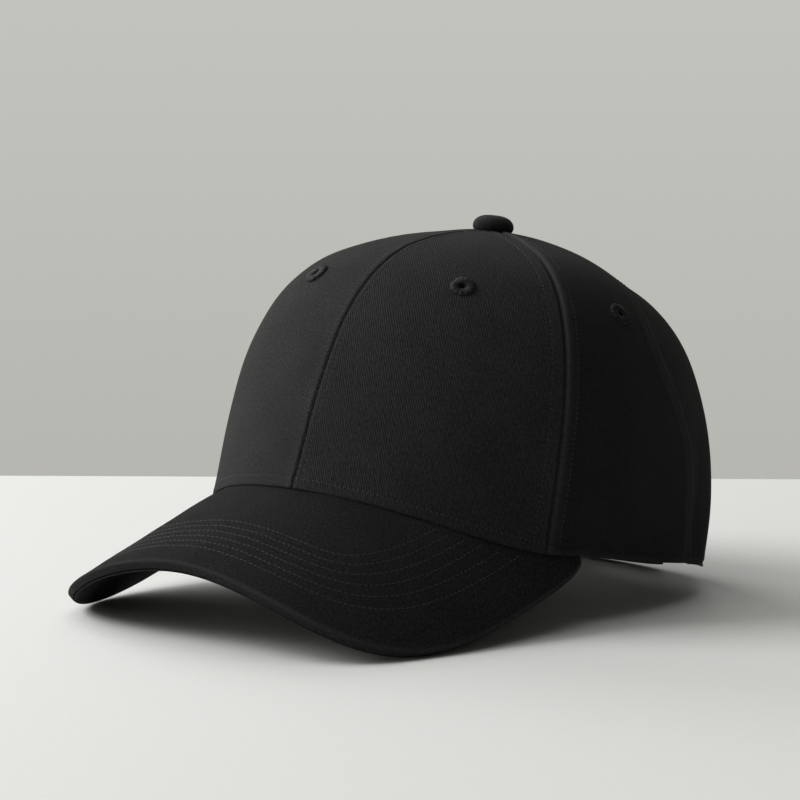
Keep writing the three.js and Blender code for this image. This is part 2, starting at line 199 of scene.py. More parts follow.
# Length, pitch and thread radius
STITCH = (1.4, 1.9, 0.14)
VISOR_STITCH = (1.9, 2.2, 0.15)


# Surfaces


def grids(*values):
    return np.broadcast_arrays(*(np.asarray(value, float) for value in values))


def to_world(points):
    x, y, z = np.moveaxis(np.asarray(points, float), -1, 0)
    back = y * math.cos(TILT) + z * math.sin(TILT) + STAND_BACK
    up = -y * math.sin(TILT) + z * math.cos(TILT) + LIFT
    return np.stack([x, back, up], -1) / 1000


def visor_height(x, y):
    u = x / VISOR_HALF_WIDTH
    return VISOR_RISE + VISOR_SLOPE * (y + RIM_HALF_LENGTH) - VISOR_DROP * u**2 - VISOR_EDGE_DROP * u**4


def rim(turn):
    angle = np.radians(turn)
    away = np.abs(np.arctan2(np.sin(angle), np.cos(angle)))
    end = math.radians(VISOR_END)
    scale = 1 + np.where(np.cos(angle) < 0, REAR_FULLNESS, 0) * np.sin(2 * angle) ** 2
    x = RIM_HALF_WIDTH * np.sin(angle) * scale
    y = -RIM_HALF_LENGTH * np.cos(angle) * scale
    end_z = visor_height(RIM_HALF_WIDTH * math.sin(end), -RIM_HALF_LENGTH * math.cos(end))
    rear = np.maximum(0, (away - REAR_DIP_START) / (math.pi - REAR_DIP_START))
    faired = end_z * np.exp((end - away) / RIM_FAIRING) - REAR_DIP * rear**2
    return np.stack([x, y, np.where(away < end, visor_height(x, y), faired)], -1)


def around_head(shape, turn):
    c = np.cos(np.radians(turn))
    return shape[0] * (1 + c) / 2 + shape[1] * (1 - c) / 2 + shape[2] * (1 - c * c)


def crown(turn, climb):
    turn, climb = grids(turn, climb)
    base = rim(turn)
    b0 = (1 - climb) ** 3
    b1 = 3 * climb * (1 - climb) ** 2
    b2 = 3 * climb**2 * (1 - climb)
    spread = b0 + b1 * (1 + around_head(LEAN, turn)) + b2 * around_head(SHOULDER, turn)
    height = b1 * around_head(RISE, turn) + b2 * around_head(DOME, turn) + climb**3
    x = base[..., 0] * spread
    y = base[..., 1] * spread + APEX_BACK * height
    return np.stack([x, y, base[..., 2] + (CROWN_HEIGHT - base[..., 2]) * height], -1)


def unit(v):
    return v / np.maximum(np.linalg.norm(v, axis=-1, keepdims=True), 1e-12)


def crown_normal(turn, climb):
    across = crown(turn + 0.05, climb) - crown(turn - 0.05, climb)
    up = crown(turn, climb + 0.001) - crown(turn, climb - 0.001)
    return unit(np.cross(across, up))


def one_turn(turn, climb):
    """How far the crown surface runs in one degree of turn."""
    return crown(turn + 0.5, climb) - crown(turn - 0.5, climb)


def mm_per_turn(turn, climb):
    return np.linalg.norm(one_turn(turn, climb), axis=-1)


def mm_per_climb(turn):
    return np.linalg.norm(crown(turn, 0.02) - crown(turn, 0), axis=-1) / 0.02


def climb_for(height):
    return height / (3 * RISE[1] * CROWN_HEIGHT)


def running_length(points):
    """Distance along the first axis of a line or grid of points."""
    lengths = np.cumsum(np.linalg.norm(np.diff(points, axis=0), axis=-1), 0)
    return np.concatenate([np.zeros_like(lengths[:1]), lengths])


def seam_shift(climb):
    """Degrees that a rear seam lies behind its place: it bows forward half way up, and back at the rim."""
    bow = SEAM_BOW * np.exp(-(((climb - BOW_CLIMB) / BOW_SPREAD) ** 2))
    return SEAM_FLARE * np.maximum(0, 1 - climb / FLARE_CLIMB) - bow


def along_seams(turn, climb):
    """Turn of a cloth column at one height: columns near a rear seam follow its bow."""
    away = np.abs(turn)
    front = (away - SIDE_SEAM) / (REAR_SEAM - SIDE_SEAM)
    share = np.maximum(0, np.minimum(front, (OPENING_EDGE - away) / (OPENING_EDGE - REAR_SEAM)))
    return np.sign(turn) * (away + share * seam_shift(climb))


def beside_seam(seam, climb, across):
    """Turn of a point that lies across millimetres from a seam."""
    centre = along_seams(float(seam), climb)
    return centre + across / mm_per_turn(centre, climb)


def opening_climb(turn):
    across = np.clip((180 - np.abs(turn)) / OPENING_HALF_ANGLE, -1, 1)
    return OPENING_CLIMB * np.sqrt(1 - across**2)


def arch_distance(turn, climb):
    """Millimetres outside the edge of the rear opening."""
    across = (180 - np.abs(turn)) / OPENING_HALF_ANGLE
    return OPENING_REACH * (np.hypot(across, climb / OPENING_CLIMB) - 1)


def arch_line(distance, sweep):
    """Turn and climb at this distance outside the rear opening, sweep running from side to side."""
    scale = 1 + distance / OPENING_REACH
    return 180 + OPENING_HALF_ANGLE * scale * np.sin(sweep), OPENING_CLIMB * scale * np.cos(sweep)


def bell(x, width):
    return np.exp(-((x / width) ** 2))


def step_down(x, edge, softness):
    return 1 / (1 + np.exp(np.clip((x - edge) / softness, -40, 40)))


WAVES = [(rng.normal(size=3) / rng.uniform(7, 16), rng.uniform(0, 6.3)) for _ in range(9)]


def waviness(points):
    return 0.06 * sum(np.sin(points @ k + phase) for k, phase in WAVES)


# Soft folds that the crown holds: turn, climb, half-widths of each, millimetres outward
FOLDS = (
    (121, 0.12, 4.5, 0.24, 1.1),
    (112.5, 0.10, 2.6, 0.22, -0.5),
    (131, 0.16, 4.0, 0.2, -0.6),
    (70.5, 0.28, 3.0, 0.26, 0.55),
    (77, 0.2, 4.2, 0.22, -0.35),
    (-122, 0.14, 5, 0.22, 0.8),
    (-72, 0.25, 3.5, 0.25, 0.4),
    (152, 0.5, 9, 0.12, -0.7),
    (-156, 0.48, 9, 0.12, -0.6),
    (30, 0.55, 22, 0.3, 0.35),
    (-30, 0.55, 22, 0.3, 0.2),
    (-55, 0.87, 45, 0.14, -1.0),
    (119, 0.76, 13, 0.075, -1.5),
    (122, 0.54, 15, 0.11, 1.0),
    (-119, 0.74, 13, 0.09, -0.8),
)
# Turns where the roll behind a side seam ends, and where the soft ridge of a rear seam ends
SIDE_ROLL_END = 84
REAR_SOFT_END = 150


def relief(turn, climb):
    """Millimetres that the cloth's outer face stands outside the plain crown surface."""
    turn, climb = grids(turn, climb)
    per_turn = mm_per_turn(turn, climb)
    wrapped = (turn + 180) % 360 - 180
    folds = waviness(crown(turn, climb)) * np.clip(climb * 8, 0.3, 1)
    for at, height, wide, tall, amount in FOLDS:
        folds = folds + amount * bell(wrapped - at, wide) * bell(climb - height, tall)
    near = np.full(turn.shape, 1e9)
    row = np.full(turn.shape, 1e9)
    for seam, stitch in SEAM_STITCH.items():
        gap = np.abs((turn - along_seams(seam, climb) + 180) % 360 - 180) * per_turn
        row = np.where(gap < near, gap - stitch, row)
        near = np.minimum(near, gap)
    rows = crown(turn, climb) @ np.array([0.5, 0.45, 0.75])
    pucker = 0.055 * bell(row, 3.2) * (np.sin(rows * 1.07) + np.sin(rows * 0.71 + 1.3))
    behind = np.abs(wrapped)
    rear = (behind > SIDE_ROLL_END) & (behind < REAR_SOFT_END)
    side_edge = (behind > SIDE_SEAM) & (behind <= SIDE_ROLL_END)
    seam = 0.16 * step_down(row, 0.8, 0.4) - np.where(rear, 0.02, 0.2) * bell(row, 0.55)
    seam = seam + np.where(rear, 0.22 * bell(near, 1.5), -0.8 * bell(near, 0.62))
    rolled = (1 - bell(near, 1.1)) * bell(near, 5.0)
    seam = seam + rolled * np.where(side_edge, 0.6, np.where(rear, 0.0, 0.12))
    up = climb * mm_per_climb(turn)
    hem = 0.14 * step_down(up, TOPSTITCH, 0.4) - 0.45 * bell(up, 0.8) - 0.2 * bell(up - RIM_STITCH, 0.55)
    away = arch_distance(turn, climb)
    arch = -0.45 * bell(away, 0.9)
    for stitch in ARCH_STITCHES:
        arch = arch - 0.16 * bell(away - stitch, 0.6)
    fade = np.clip((PANEL_TOP + 0.012 - climb) / 0.06, 0, 1)
    return (folds + pucker) * fade + seam + hem + arch


def below(turn, climb, depth):
    """Points this many millimetres inside the plain crown surface."""
    turn, climb, depth = grids(turn, climb, depth)
    return crown(turn, climb) - crown_normal(turn, climb) * depth[..., None]


def cloth_at(turn, climb):
    return below(turn, climb, -relief(turn, climb))


def visor_outline_points():
    share = (1 - np.cos(np.linspace(0, math.pi, 4001))) / 2
    angle = share * (math.pi / 2)
    reach = RIM_HALF_LENGTH + VISOR_REACH + VISOR_WIDEST_Y
    x = VISOR_HALF_WIDTH * np.sin(angle) ** VISOR_SQUARENESS
    y = VISOR_WIDEST_Y - reach * np.maximum(np.cos(angle), 0) ** VISOR_SQUARENESS
    end = math.radians(VISOR_END)
    end_x, end_y = RIM_HALF_WIDTH * math.sin(end), -RIM_HALF_LENGTH * math.cos(end)
    x2 = end_x + (VISOR_HALF_WIDTH - end_x) * np.cos(angle[1:])
    y2 = VISOR_WIDEST_Y + (end_y - VISOR_WIDEST_Y) * np.sin(angle[1:])
    return np.stack([np.concatenate([x, x2]), np.concatenate([y, y2])], -1)


OUTLINE = visor_outline_points()
OUTLINE_BEARING = np.degrees(np.arctan2(OUTLINE[:, 0], -OUTLINE[:, 1]))


def outline_at(bearing):
    x = np.interp(np.abs(bearing), OUTLINE_BEARING, OUTLINE[:, 0])
    y = np.interp(np.abs(bearing), OUTLINE_BEARING, OUTLINE[:, 1])
    return np.stack([np.sign(bearing) * x, y], -1)


def inner_edge_at(bearing, stand):
    b = np.radians(bearing)
    turn = np.degrees(np.arctan2(RIM_HALF_LENGTH * np.sin(b), RIM_HALF_WIDTH * np.cos(b)))
    edge = rim(turn)[..., :2]
    return edge * (1 + stand / np.linalg.norm(edge, axis=-1, keepdims=True))


def rim_distance(plan):
    """Distance in plan outside the crown's rim, along each point's bearing."""
    bearing = np.degrees(np.arctan2(plan[..., 0], -plan[..., 1]))
    return np.linalg.norm(plan, axis=-1) - np.linalg.norm(inner_edge_at(bearing, 0.0), axis=-1)


def outline_distance(plan):
    """Distance in plan from each point to the visor's outline."""
    line = OUTLINE[::8]
    flat = np.stack([np.abs(plan[..., 0]), plan[..., 1]], -1).reshape(-1, 2)
    found = np.empty(len(flat))
    for i in range(0, len(flat), 4000):
        part = flat[i : i + 4000]
        found[i : i + 4000] = np.sqrt(((part[:, None] - line[None]) ** 2).sum(-1)).min(1)
    return found.reshape(plan.shape[:-1])


def visor_surface(plan):
    return np.concatenate([plan, visor_height(plan[..., 0], plan[..., 1])[..., None]], -1)


def visor_normal(plan):
    x, y = plan[..., 0], plan[..., 1]
    slope = (visor_height(x + 0.1, y) - visor_height(x - 0.1, y)) / 0.2
    return unit(np.stack([-slope, np.full_like(slope, -VISOR_SLOPE), np.ones_like(slope)], -1))


def visor_relief(plan):
    distance = outline_distance(plan)
    offset = 0.1 * step_down(distance, VISOR_ROWS[-1] + 2, 1.5)
    for row in VISOR_ROWS:
        offset = offset - 0.09 * bell(distance - row, 0.5)
    return offset + 0.7 * waviness(visor_surface(plan) * 1.3) - 0.25 * bell(rim_distance(plan), 1.4)


def visor_at(plan, depth):
    return visor_surface(plan) - visor_normal(plan) * np.broadcast_to(depth, plan.shape[:-1])[..., None]


# Meshes


def graded(low, high, count, peaks):
    """count steps from low to high, closer together near each peak (place, weight, reach)."""
    x = np.linspace(low, high, 6001)
    density = np.ones_like(x)
    for at, weight, reach in peaks:
        density += weight * np.exp(-np.abs(x - at) / reach)
    total = np.concatenate([[0], np.cumsum((density[1:] + density[:-1]) / 2)])
    return np.interp(np.linspace(0, total[-1], count + 1), total, x)


def add_mesh(name, points, faces, material):
    mesh = bpy.data.meshes.new(name)
    mesh.from_pydata(points, [], faces)
    mesh.materials.append(material)
    obj = bpy.data.objects.new(name, mesh)
    bpy.context.scene.collection.objects.link(obj)
    return obj


def make_object(name, points, faces, material, uv=None, wear_and_highlight=None, sharp=50):
    """One smooth mesh in the cap's frame; uv is millimetres of cloth and wear_and_highlight a share from 0
    to 1, for rubbing and, beside the side seams, painted highlight.
    """
    obj = add_mesh(name, points.tolist(), faces.tolist(), material)
    mesh = obj.data
    if uv is not None:
        layer = mesh.uv_layers.new(name="cloth")
        corners = np.empty(len(mesh.loops), np.int32)
        mesh.loops.foreach_get("vertex_index", corners)
        layer.data.foreach_set("uv", np.asarray(uv, np.float32)[corners].ravel())
    if wear_and_highlight is not None:
        attribute = mesh.attributes.new("wear_and_highlight", "FLOAT", "POINT")
        attribute.data.foreach_set("value", np.asarray(wear_and_highlight, np.float32))
    mesh.shade_smooth()
    if sharp:
        mesh.set_sharp_from_angle(angle=math.radians(sharp))
    mesh.update()
    return obj


def facing_out(points, faces):
    """The faces of a closed mesh, turned round if they face in."""
    a, b, c, d = (points[faces[:, k]] for k in range(4))
    volume = (a * np.cross(b, c)).sum() + (a * np.cross(c, d)).sum()
    return faces[:, ::-1] if volume < 0 else faces


def sheet_parts(outer, inner, holes=None):
    """Points and faces of a closed sheet between two grids, open where holes marks a cell."""
    columns, rows = outer.shape[0] - 1, outer.shape[1] - 1
    number = np.arange(outer[..., 0].size).reshape(outer.shape[:2])
    shift = number.size
    keep = np.ones((columns, rows), bool) if holes is None else ~holes
    i, j = np.nonzero(keep)
    top = np.stack([number[i, j], number[i + 1, j], number[i + 1, j + 1], number[i, j + 1]], -1)
    padded = np.pad(keep, 1)
    faces = [top, top[:, ::-1] + shift]
    for di, dj, corner_a, corner_b in ((-1, 0, (0, 1), (0, 0)), (1, 0, (1, 0), (1, 1)),
                                       (0, -1, (0, 0), (1, 0)), (0, 1, (1, 1), (0, 1))):
        edge = keep & ~padded[1 + di : 1 + di + columns, 1 + dj : 1 + dj + rows]
        i, j = np.nonzero(edge)
        a = number[i + corner_a[0], j + corner_a[1]]
        b = number[i + corner_b[0], j + corner_b[1]]
        faces.append(np.stack([b, a, a + shift, b + shift], -1))
    faces = np.concatenate(faces)
    used = np.unique(faces)
    renumber = np.zeros(2 * shift, int)
    renumber[used] = np.arange(len(used))
    points = np.concatenate([outer.reshape(-1, 3), inner.reshape(-1, 3)])[used]
    return points, facing_out(points, renumber[faces]), used


def sheet_object(name, outer, inner, material, uv, wear_and_highlight=None, holes=None, on_floor=False):
    points, faces, used = sheet_parts(outer, inner, holes)
    world = to_world(points)
    if on_floor:
        world[:, 2] = np.maximum(world[:, 2], 0)
    uv = np.concatenate([uv.reshape(-1, 2)] * 2)[used]
    if wear_and_highlight is not None:
        wear_and_highlight = np.concatenate([wear_and_highlight.ravel(), wear_and_highlight.ravel() * 0])[used]
    return make_object(name, world, faces, material, uv, wear_and_highlight)


def sheet_piece(node, kind, slot, *sheet, **more):
    """A sheet on the cap that stands for one node of the CAD."""
    finish_piece(sheet_object(f"{node}_{kind}", *sheet, **more), "cap", slot, node)


def ring_object(name, points, material, uv, wear_and_highlight=None, sharp=None):
    """A mesh from a grid of points that closes on itself both ways."""
    number = np.arange(points[..., 0].size).reshape(points.shape[:2])
    ahead = np.roll(number, -1, 0)
    faces = np.stack([number, ahead, np.roll(ahead, -1, 1), np.roll(number, -1, 1)], -1).reshape(-1, 4)
    flat = points.reshape(-1, 3)
    return make_object(name, to_world(flat), facing_out(flat, faces), material, uv, wear_and_highlight, sharp)


def tube_faces(rings, sides, ends, count):
    """Faces of count tubes, each made of rings of points and closed by its end faces."""
    one = [
        (k * sides + a, k * sides + (a + 1) % sides, (k + 1) * sides + (a + 1) % sides, (k + 1) * sides + a)
        for k in range(rings - 1)
        for a in range(sides)
    ]
    one = np.array(one + ends)
    return (one[None] + rings * sides * np.arange(count)[:, None, None]).reshape(-1, 4)


def ring_points(centre, first, second, angles, size):
    """A ring of points round each centre, in the plane of two directions."""
    return [centre + first * (math.cos(a) * size) + second * (math.sin(a) * size) for a in angles]


def hexagon_ends(last):
    """The faces that close a six-sided tube, whose last ring starts at this point."""
    upper = [(last, last + 1, last + 2, last + 3), (last, last + 3, last + 4, last + 5)]
    return [(3, 2, 1, 0), (5, 4, 3, 0)] + upper


def cloth_uv(turns, climbs):
    """Millimetres across and up the cloth, measured from the panel's middle column."""
    points = crown(turns, climbs)
    middle = points.shape[0] // 2
    across = running_length(points)
    return np.stack(grids(across - across[middle], running_length(points[middle])), -1)


def finish_piece(obj, body, slot, *nodes):
    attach(obj, body)
    if nodes:
        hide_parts(*nodes)
    return obj


# Threads

RING = np.radians(np.arange(0, 360, 60))
# Along a stitch: place as a share of its length, thickness and rise as shares of the thread's radius
ALONG = np.array([-0.5, -0.44, -0.28, 0.0, 0.28, 0.44, 0.5])
THICK = np.array([0.30, 0.75, 1.0, 1.08, 1.0, 0.75, 0.30])
DIP = np.array([-1.5, -0.7, -0.1, 0.15, -0.1, -0.7, -1.5])
# Height and half width of a needle hole's rings
HOLE_RINGS = ((-0.25, 0.2), (0.02, 0.17), (0.03, 0.08))


def stitch_places(line, normals, length, pitch):
    """Middle, direction and normal of every stitch along one line of points."""
    s = running_length(line)
    middles = np.arange(0.4 + length / 2, s[-1] - length / 2, pitch)
    middles = middles + rng.normal(0, 0.06, len(middles))

    def at(values, where):
        return np.stack([np.interp(where, s, values[:, k]) for k in range(3)], -1)

    along = unit(at(line, middles + length / 2) - at(line, middles - length / 2))
    return at(line, middles), along, unit(at(normals, middles))


def needle_holes(middle, along, normal, side, pitch):
    """Shallow pits between neighbouring stitches, where the thread dives into the cloth; their material
    colours them near-black as painted shade.
    """
    centre = middle + along * (pitch / 2)
    rings = []
    for high, wide in HOLE_RINGS:
        rings += ring_points(centre + normal * high, along * 1.15, side, RING, wide)
    return np.stack(rings, 1).reshape(-1, 3), tube_faces(3, 6, hexagon_ends(12), len(middle))


def stitches(name, rows, material, stitch=STITCH):
    """One mesh of sewn stitches along rows of (line, normals) in the cap's frame."""
    length, pitch, radius = stitch
    found = [stitch_places(line, normals, length, pitch) for line, normals in rows]
    middle, along, normal = (np.concatenate(parts) for parts in zip(*found))
    count = len(middle)
    normal = unit(normal - along * (along * normal).sum(-1, keepdims=True))
    side = np.cross(normal, along)
    along = unit(along + side * rng.normal(0, 0.035, (count, 1)))
    side = np.cross(normal, along)
    size = radius * rng.uniform(0.92, 1.1, (count, 1))
    middle = middle + side * rng.normal(0, 0.05, (count, 1))
    rings, uvs = [], []
    for share, thick, dip in zip(ALONG, THICK, DIP):
        centre = middle + along * (share * length) + normal * (dip * radius)
        rings += ring_points(centre, side, normal, RING, size * thick)
        uvs += [np.broadcast_to([share * length, angle / (2 * math.pi)], (count, 2)) for angle in RING]
    points = np.stack(rings, 1).reshape(-1, 3)
    uv = np.stack(uvs, 1).reshape(-1, 2)
    faces = tube_faces(len(ALONG), 6, hexagon_ends(6 * len(ALONG) - 6), count)
    pits, pit_faces = needle_holes(middle, along, normal, side, pitch)
    sunk = np.repeat(np.array([0, 1], np.int32), [len(faces), len(pit_faces)])
    faces = np.concatenate([faces, pit_faces + len(points)])
    uv = np.concatenate([uv, np.zeros((len(pits), 2))])
    points = np.concatenate([points, pits])
    obj = make_object(name, to_world(points), faces, material, uv, sharp=None)
    obj.data.materials.append(HOLE)
    obj.data.polygons.foreach_set("material_index", sunk)
    return obj


def sew(name, rows, material, stitch=STITCH):
    return finish_piece(stitches(name, rows, material, stitch), "cap", "thread")


# Materials


class Nodes:
    """Short names for making and joining the nodes of one material or world."""

    def __init__(self, owner):
        owner.use_nodes = True
        self.owner = owner
        self.tree = owner.node_tree
        self.tree.nodes.clear()

    def add(self, kind, inputs=None, **settings):
        """A node with its inputs joined to other nodes' outputs, or set to constants."""
        node = self.tree.nodes.new(kind)
        for key, value in settings.items():
            setattr(node, key, value)
        for key, value in (inputs or {}).items():
            socket = node.inputs[key]
            if isinstance(value, bpy.types.NodeSocket):
                self.tree.links.new(value, socket)
            elif socket.type == "RGBA":
                socket.default_value = (*value, 1)
            else:
                socket.default_value = value
        return node

    def cloth(self, scale=(1, 1, 1), turn=0.0):
        uv = self.add("ShaderNodeUVMap", uv_map="cloth").outputs[0]
        inputs = {"Vector": uv, "Scale": scale, "Rotation": (0, 0, turn)}
        return self.add("ShaderNodeMapping", inputs).outputs[0]

    def place(self):
        """The piece's own coordinates in millimetres."""
        where = self.add("ShaderNodeTexCoord").outputs["Object"]
        return self.add("ShaderNodeMapping", {"Vector": where, "Scale": (1000, 1000, 1000)}).outputs[0]

    def bands(self, vector, pitch, distortion, direction="X", detail_scale=1.0):
        """Ribs at one pitch in millimetres, as a height from 0 to 1."""
        return self.add(
            "ShaderNodeTexWave",
            {"Vector": vector, "Scale": math.pi / (10 * pitch), "Distortion": distortion, "Detail": 2.0,
             "Detail Scale": detail_scale, "Detail Roughness": 0.6},
            wave_type="BANDS", bands_direction=direction, wave_profile="SIN",
        ).outputs["Fac"]

    def noise(self, vector, scale, detail=3.0, rough=0.6):
        inputs = {"Vector": vector, "Scale": scale, "Detail": detail, "Roughness": rough}
        return self.add("ShaderNodeTexNoise", inputs).outputs["Fac"]

    def math(self, kind, a, b, clamp=False):
        return self.add("ShaderNodeMath", {0: a, 1: b}, operation=kind, use_clamp=clamp).outputs[0]

    def times(self, a, b, clamp=False):
        return self.math("MULTIPLY", a, b, clamp)

    def plus(self, a, b, clamp=False):
        return self.math("ADD", a, b, clamp)

    def scaled(self, value, gain, base):
        return self.plus(self.times(value, gain), base)

    def ramp(self, value, *stops):
        node = self.add("ShaderNodeValToRGB", {"Fac": value})
        for point, (at, shade) in zip(node.color_ramp.elements, stops):
            point.position = at
            point.color = (*np.broadcast_to(shade, 3).tolist(), 1)
        return node.outputs["Color"]

    def mix(self, share, a, b, blend="MIX"):
        inputs = {0: share, 6: a, 7: b}
        return self.add("ShaderNodeMix", inputs, data_type="RGBA", blend_type=blend).outputs[2]

    def finish(self, color, roughness, bump, distance, strength=1.0, **settings):
        bumps = {"Height": bump, "Distance": distance, "Strength": strength}
        normal = self.add("ShaderNodeBump", bumps).outputs[0]
        inputs = {"Base Color": color, "Normal": normal, "Roughness": roughness}
        inputs.update((key.replace("_", " "), value) for key, value in settings.items())
        shader = self.add("ShaderNodeBsdfPrincipled", inputs)
        self.add("ShaderNodeOutputMaterial", {"Surface": shader.outputs[0]})
        return self.owner


def new_material(name):
    return Nodes(bpy.data.materials.new(name))


def twill(name, dark, light, pale_tone, pitch, slant, rib_height, speck, sheen,
          wear_and_highlight_gain=0.5, ribs=1.0, nap=0.5, brush=(1, 1), contrast=2.6):
    """Woven cloth: ribs broken into yarn floats, uneven fibres, a brushed nap, lint, rubbing at edges, and
    a painted highlight where the mesh attribute asks for one.
    """
    n = new_material(name)
    slant = math.radians(slant)
    rib = n.bands(n.cloth(turn=slant), pitch, 1.1, detail_scale=0.55)
    floats = n.noise(n.cloth((1.25 / pitch, 0.62 / pitch, 1), slant), 1.0, 2.0, 0.5)
    floats = n.times(n.math("SUBTRACT", floats, 0.3), 2.3, True)
    yarn = n.times(rib, n.scaled(floats, 0.7, 0.3))
    fibre = n.noise(n.cloth((1, 0.4, 1)), 2.6, 4.0, 0.7)
    fuzz = n.noise(n.cloth((*brush, 1)), 0.95, 5.0, 0.78)
    grain = n.plus(n.times(n.math("SUBTRACT", fuzz, 0.5), contrast), 0.5, True)
    woven = n.plus(n.times(yarn, ribs), n.times(grain, nap))
    tone = n.plus(n.times(woven, 0.5), n.times(fibre, 0.15), True)
    clouds = n.ramp(n.noise(n.cloth(), 0.05, 3.0, 0.55), (0.3, 0.86), (0.7, 1.12))
    color = n.mix(1.0, n.mix(tone, dark, light), clouds, "MULTIPLY")
    specks = n.ramp(fuzz, (speck, 0.0), (speck + 0.08, 1.0))
    color = n.mix(n.times(specks, 0.45), color, pale_tone)
    # The mesh attribute mixes the cloth towards its pale tone for rubbing at edges and seams, and for the
    # painted highlight beside the side seams
    rubbed_and_highlit = n.add("ShaderNodeAttribute", attribute_name="wear_and_highlight").outputs["Fac"]
    rubbed_and_highlit = n.times(rubbed_and_highlit, n.scaled(fuzz, 1.1, 0.1), True)
    color = n.mix(n.times(rubbed_and_highlit, wear_and_highlight_gain), color, pale_tone)
    height = n.plus(woven, n.times(fibre, 0.25))
    return n.finish(color, n.scaled(fibre, 0.12, 0.84), height, rib_height,
                    Sheen_Weight=sheen, Sheen_Roughness=0.5, Specular_IOR_Level=0.1)


def thread_material(name, depth):
    n = new_material(name)
    twist = n.bands(n.cloth((1, 1.1, 1), math.radians(35)), 0.55, 0.3)
    lint = n.noise(n.place(), 1.6)
    dark, light, pale_tone = ((k * depth,) * 3 for k in (0.009, 0.034, 0.05))
    color = n.mix(n.times(lint, 0.3), n.mix(twist, dark, light), pale_tone)
    shine = min(1, depth / 0.5)
    return n.finish(color, n.scaled(lint, 0.2, 0.5), twist, 0.00008, 0.8, Sheen_Weight=0.12 * shine,
                    Sheen_Roughness=0.4, Specular_IOR_Level=0.08 + 0.42 * shine)


def grained(name, dark, light, grain_of, rough, distance, strength, tone_of=None, **settings):
    """Plain matter: its grain shows in bumps and gloss, and in its colour unless tone_of says otherwise."""
    n = new_material(name)
    grain = n.noise(n.place(), *grain_of)
    tone = n.noise(n.place(), *tone_of) if tone_of else grain
    color = n.mix(tone, dark, light)
    return n.finish(color, n.scaled(grain, *rough), grain, distance, strength, **settings)


def tape_material():
    n = new_material("trim_tape")
    weft = n.bands(n.cloth(), 0.7, 0.25, "Y")
    weave = n.plus(n.times(weft, 0.7), n.times(n.bands(n.cloth(), 0.5, 0.3), 0.3))
    lint = n.noise(n.cloth(), 1.1, 4.0, 0.7)
    color = n.mix(n.times(weave, 0.8), (0.007, 0.007, 0.0075), (0.018, 0.018, 0.019))
    color = n.mix(n.times(lint, 0.2), color, (0.037, 0.037, 0.0375))
    total = n.plus(weave, n.times(lint, 0.4))
    rough = n.scaled(lint, 0.15, 0.75)
    return n.finish(color, rough, total, 0.0002, 0.9, Sheen_Weight=0.2, Sheen_Roughness=0.5)


def buckram_material():
    n = new_material("buckram")
    grid = n.math("MAXIMUM", n.bands(n.cloth(), 1.3, 0.5, "Y"), n.bands(n.cloth(), 1.3, 0.5))
    lint = n.noise(n.cloth(), 0.8, 4.0)
    color = n.mix(grid, (0.008, 0.008, 0.009), (0.045, 0.045, 0.047))
    color = n.mix(n.times(lint, 0.3), color, (0.06, 0.06, 0.06))
    return n.finish(color, n.scaled(lint, 0.2, 0.7), grid, 0.0003, 0.9, Sheen_Weight=0.05)


def metal_material():
    n = new_material("button_metal")
    marks = n.noise(n.place(), 0.5, 5.0, 0.7)
    pits = n.noise(n.place(), 2.5, 2.0)
    color = n.mix(marks, (0.34, 0.34, 0.36), (0.6, 0.6, 0.62))
    return n.finish(color, n.scaled(marks, 0.25, 0.25), pits, 0.00006, 0.6, Metallic=1.0)


def paper_material():
    n = new_material("floor_paper")
    grain = n.noise(n.place(), 0.25, 5.0)
    clouds = n.noise(n.place(), 0.004, 2.0)
    color = n.mix(grain, (0.78, 0.785, 0.77), (0.83, 0.835, 0.82))
    color = n.mix(n.times(clouds, 0.3), color, (0.76, 0.765, 0.75))
    return n.finish(color, 0.7, grain, 0.0001, 0.3)


CROWN_CLOTH = twill("crown_twill", (0.003, 0.003, 0.0031), (0.039, 0.039, 0.0395), (0.06, 0.06, 0.061),
                    0.95, -22, 0.00028, 0.66, 0.03, 0.25, 1.6, 0.85, (0.8, 0.8), 3.8)
# Painted light: the wearer's right front panel faces the key light, and is given a lighter copy of the
# crown cloth, matched to how bright it is in the photo
RIGHT_LIT_CLOTH = twill("right_twill_painted_light", (0.004, 0.004, 0.0041), (0.06, 0.06, 0.0605), (0.085, 0.085, 0.086),
                    0.95, -22, 0.00032, 0.66, 0.03, 0.25, 1.1, 1.0, (1.15, 1.15), 4.2)
# Painted light: the button cover takes a lighter copy of the crown cloth, set to the tone of the lit button
BUTTON_LIT_CLOTH = twill("button_twill_painted_light", (0.006, 0.006, 0.0061), (0.05, 0.05, 0.0505), (0.07, 0.07, 0.071),
                     0.95, -22, 0.0001, 0.66, 0.03, 0.25, 0.3, 0.6)
# Painted shade: the side and rear panels take a darker copy of the crown cloth, set to the tone of the
# shaded side panel
SIDE_SHADED_CLOTH = twill("side_twill_painted_shade", (0.003, 0.003, 0.0031), (0.025, 0.025, 0.0255), (0.085, 0.085, 0.087),
                   0.95, -22, 0.00012, 0.72, 0.03, 0.8, 0.35, 1.0, (1, 1), 3.4)
VISOR_CLOTH = twill("visor_twill", (0.0008, 0.0008, 0.0009), (0.032, 0.032, 0.0325), (0.07, 0.07, 0.071),
                    0.9, 4, 0.0004, 0.64, 0.015, 0.7, 0.2, 1.35, (1.25, 0.9), 4.4)
BAND_CLOTH = twill("sweatband_cloth", (0.005, 0.005, 0.0055), (0.024, 0.024, 0.025), (0.05, 0.05, 0.051),
                   0.6, 45, 0.00016, 0.66, 0.1)
TAPE = tape_material()
BUCKRAM = buckram_material()
THREAD = thread_material("thread", 0.75)
DARK_THREAD = thread_material("dark_thread", 0.14)
VISOR_THREAD = thread_material("visor_thread", 0.9)
EYELET_THREAD = thread_material("eyelet_thread", 0.2)
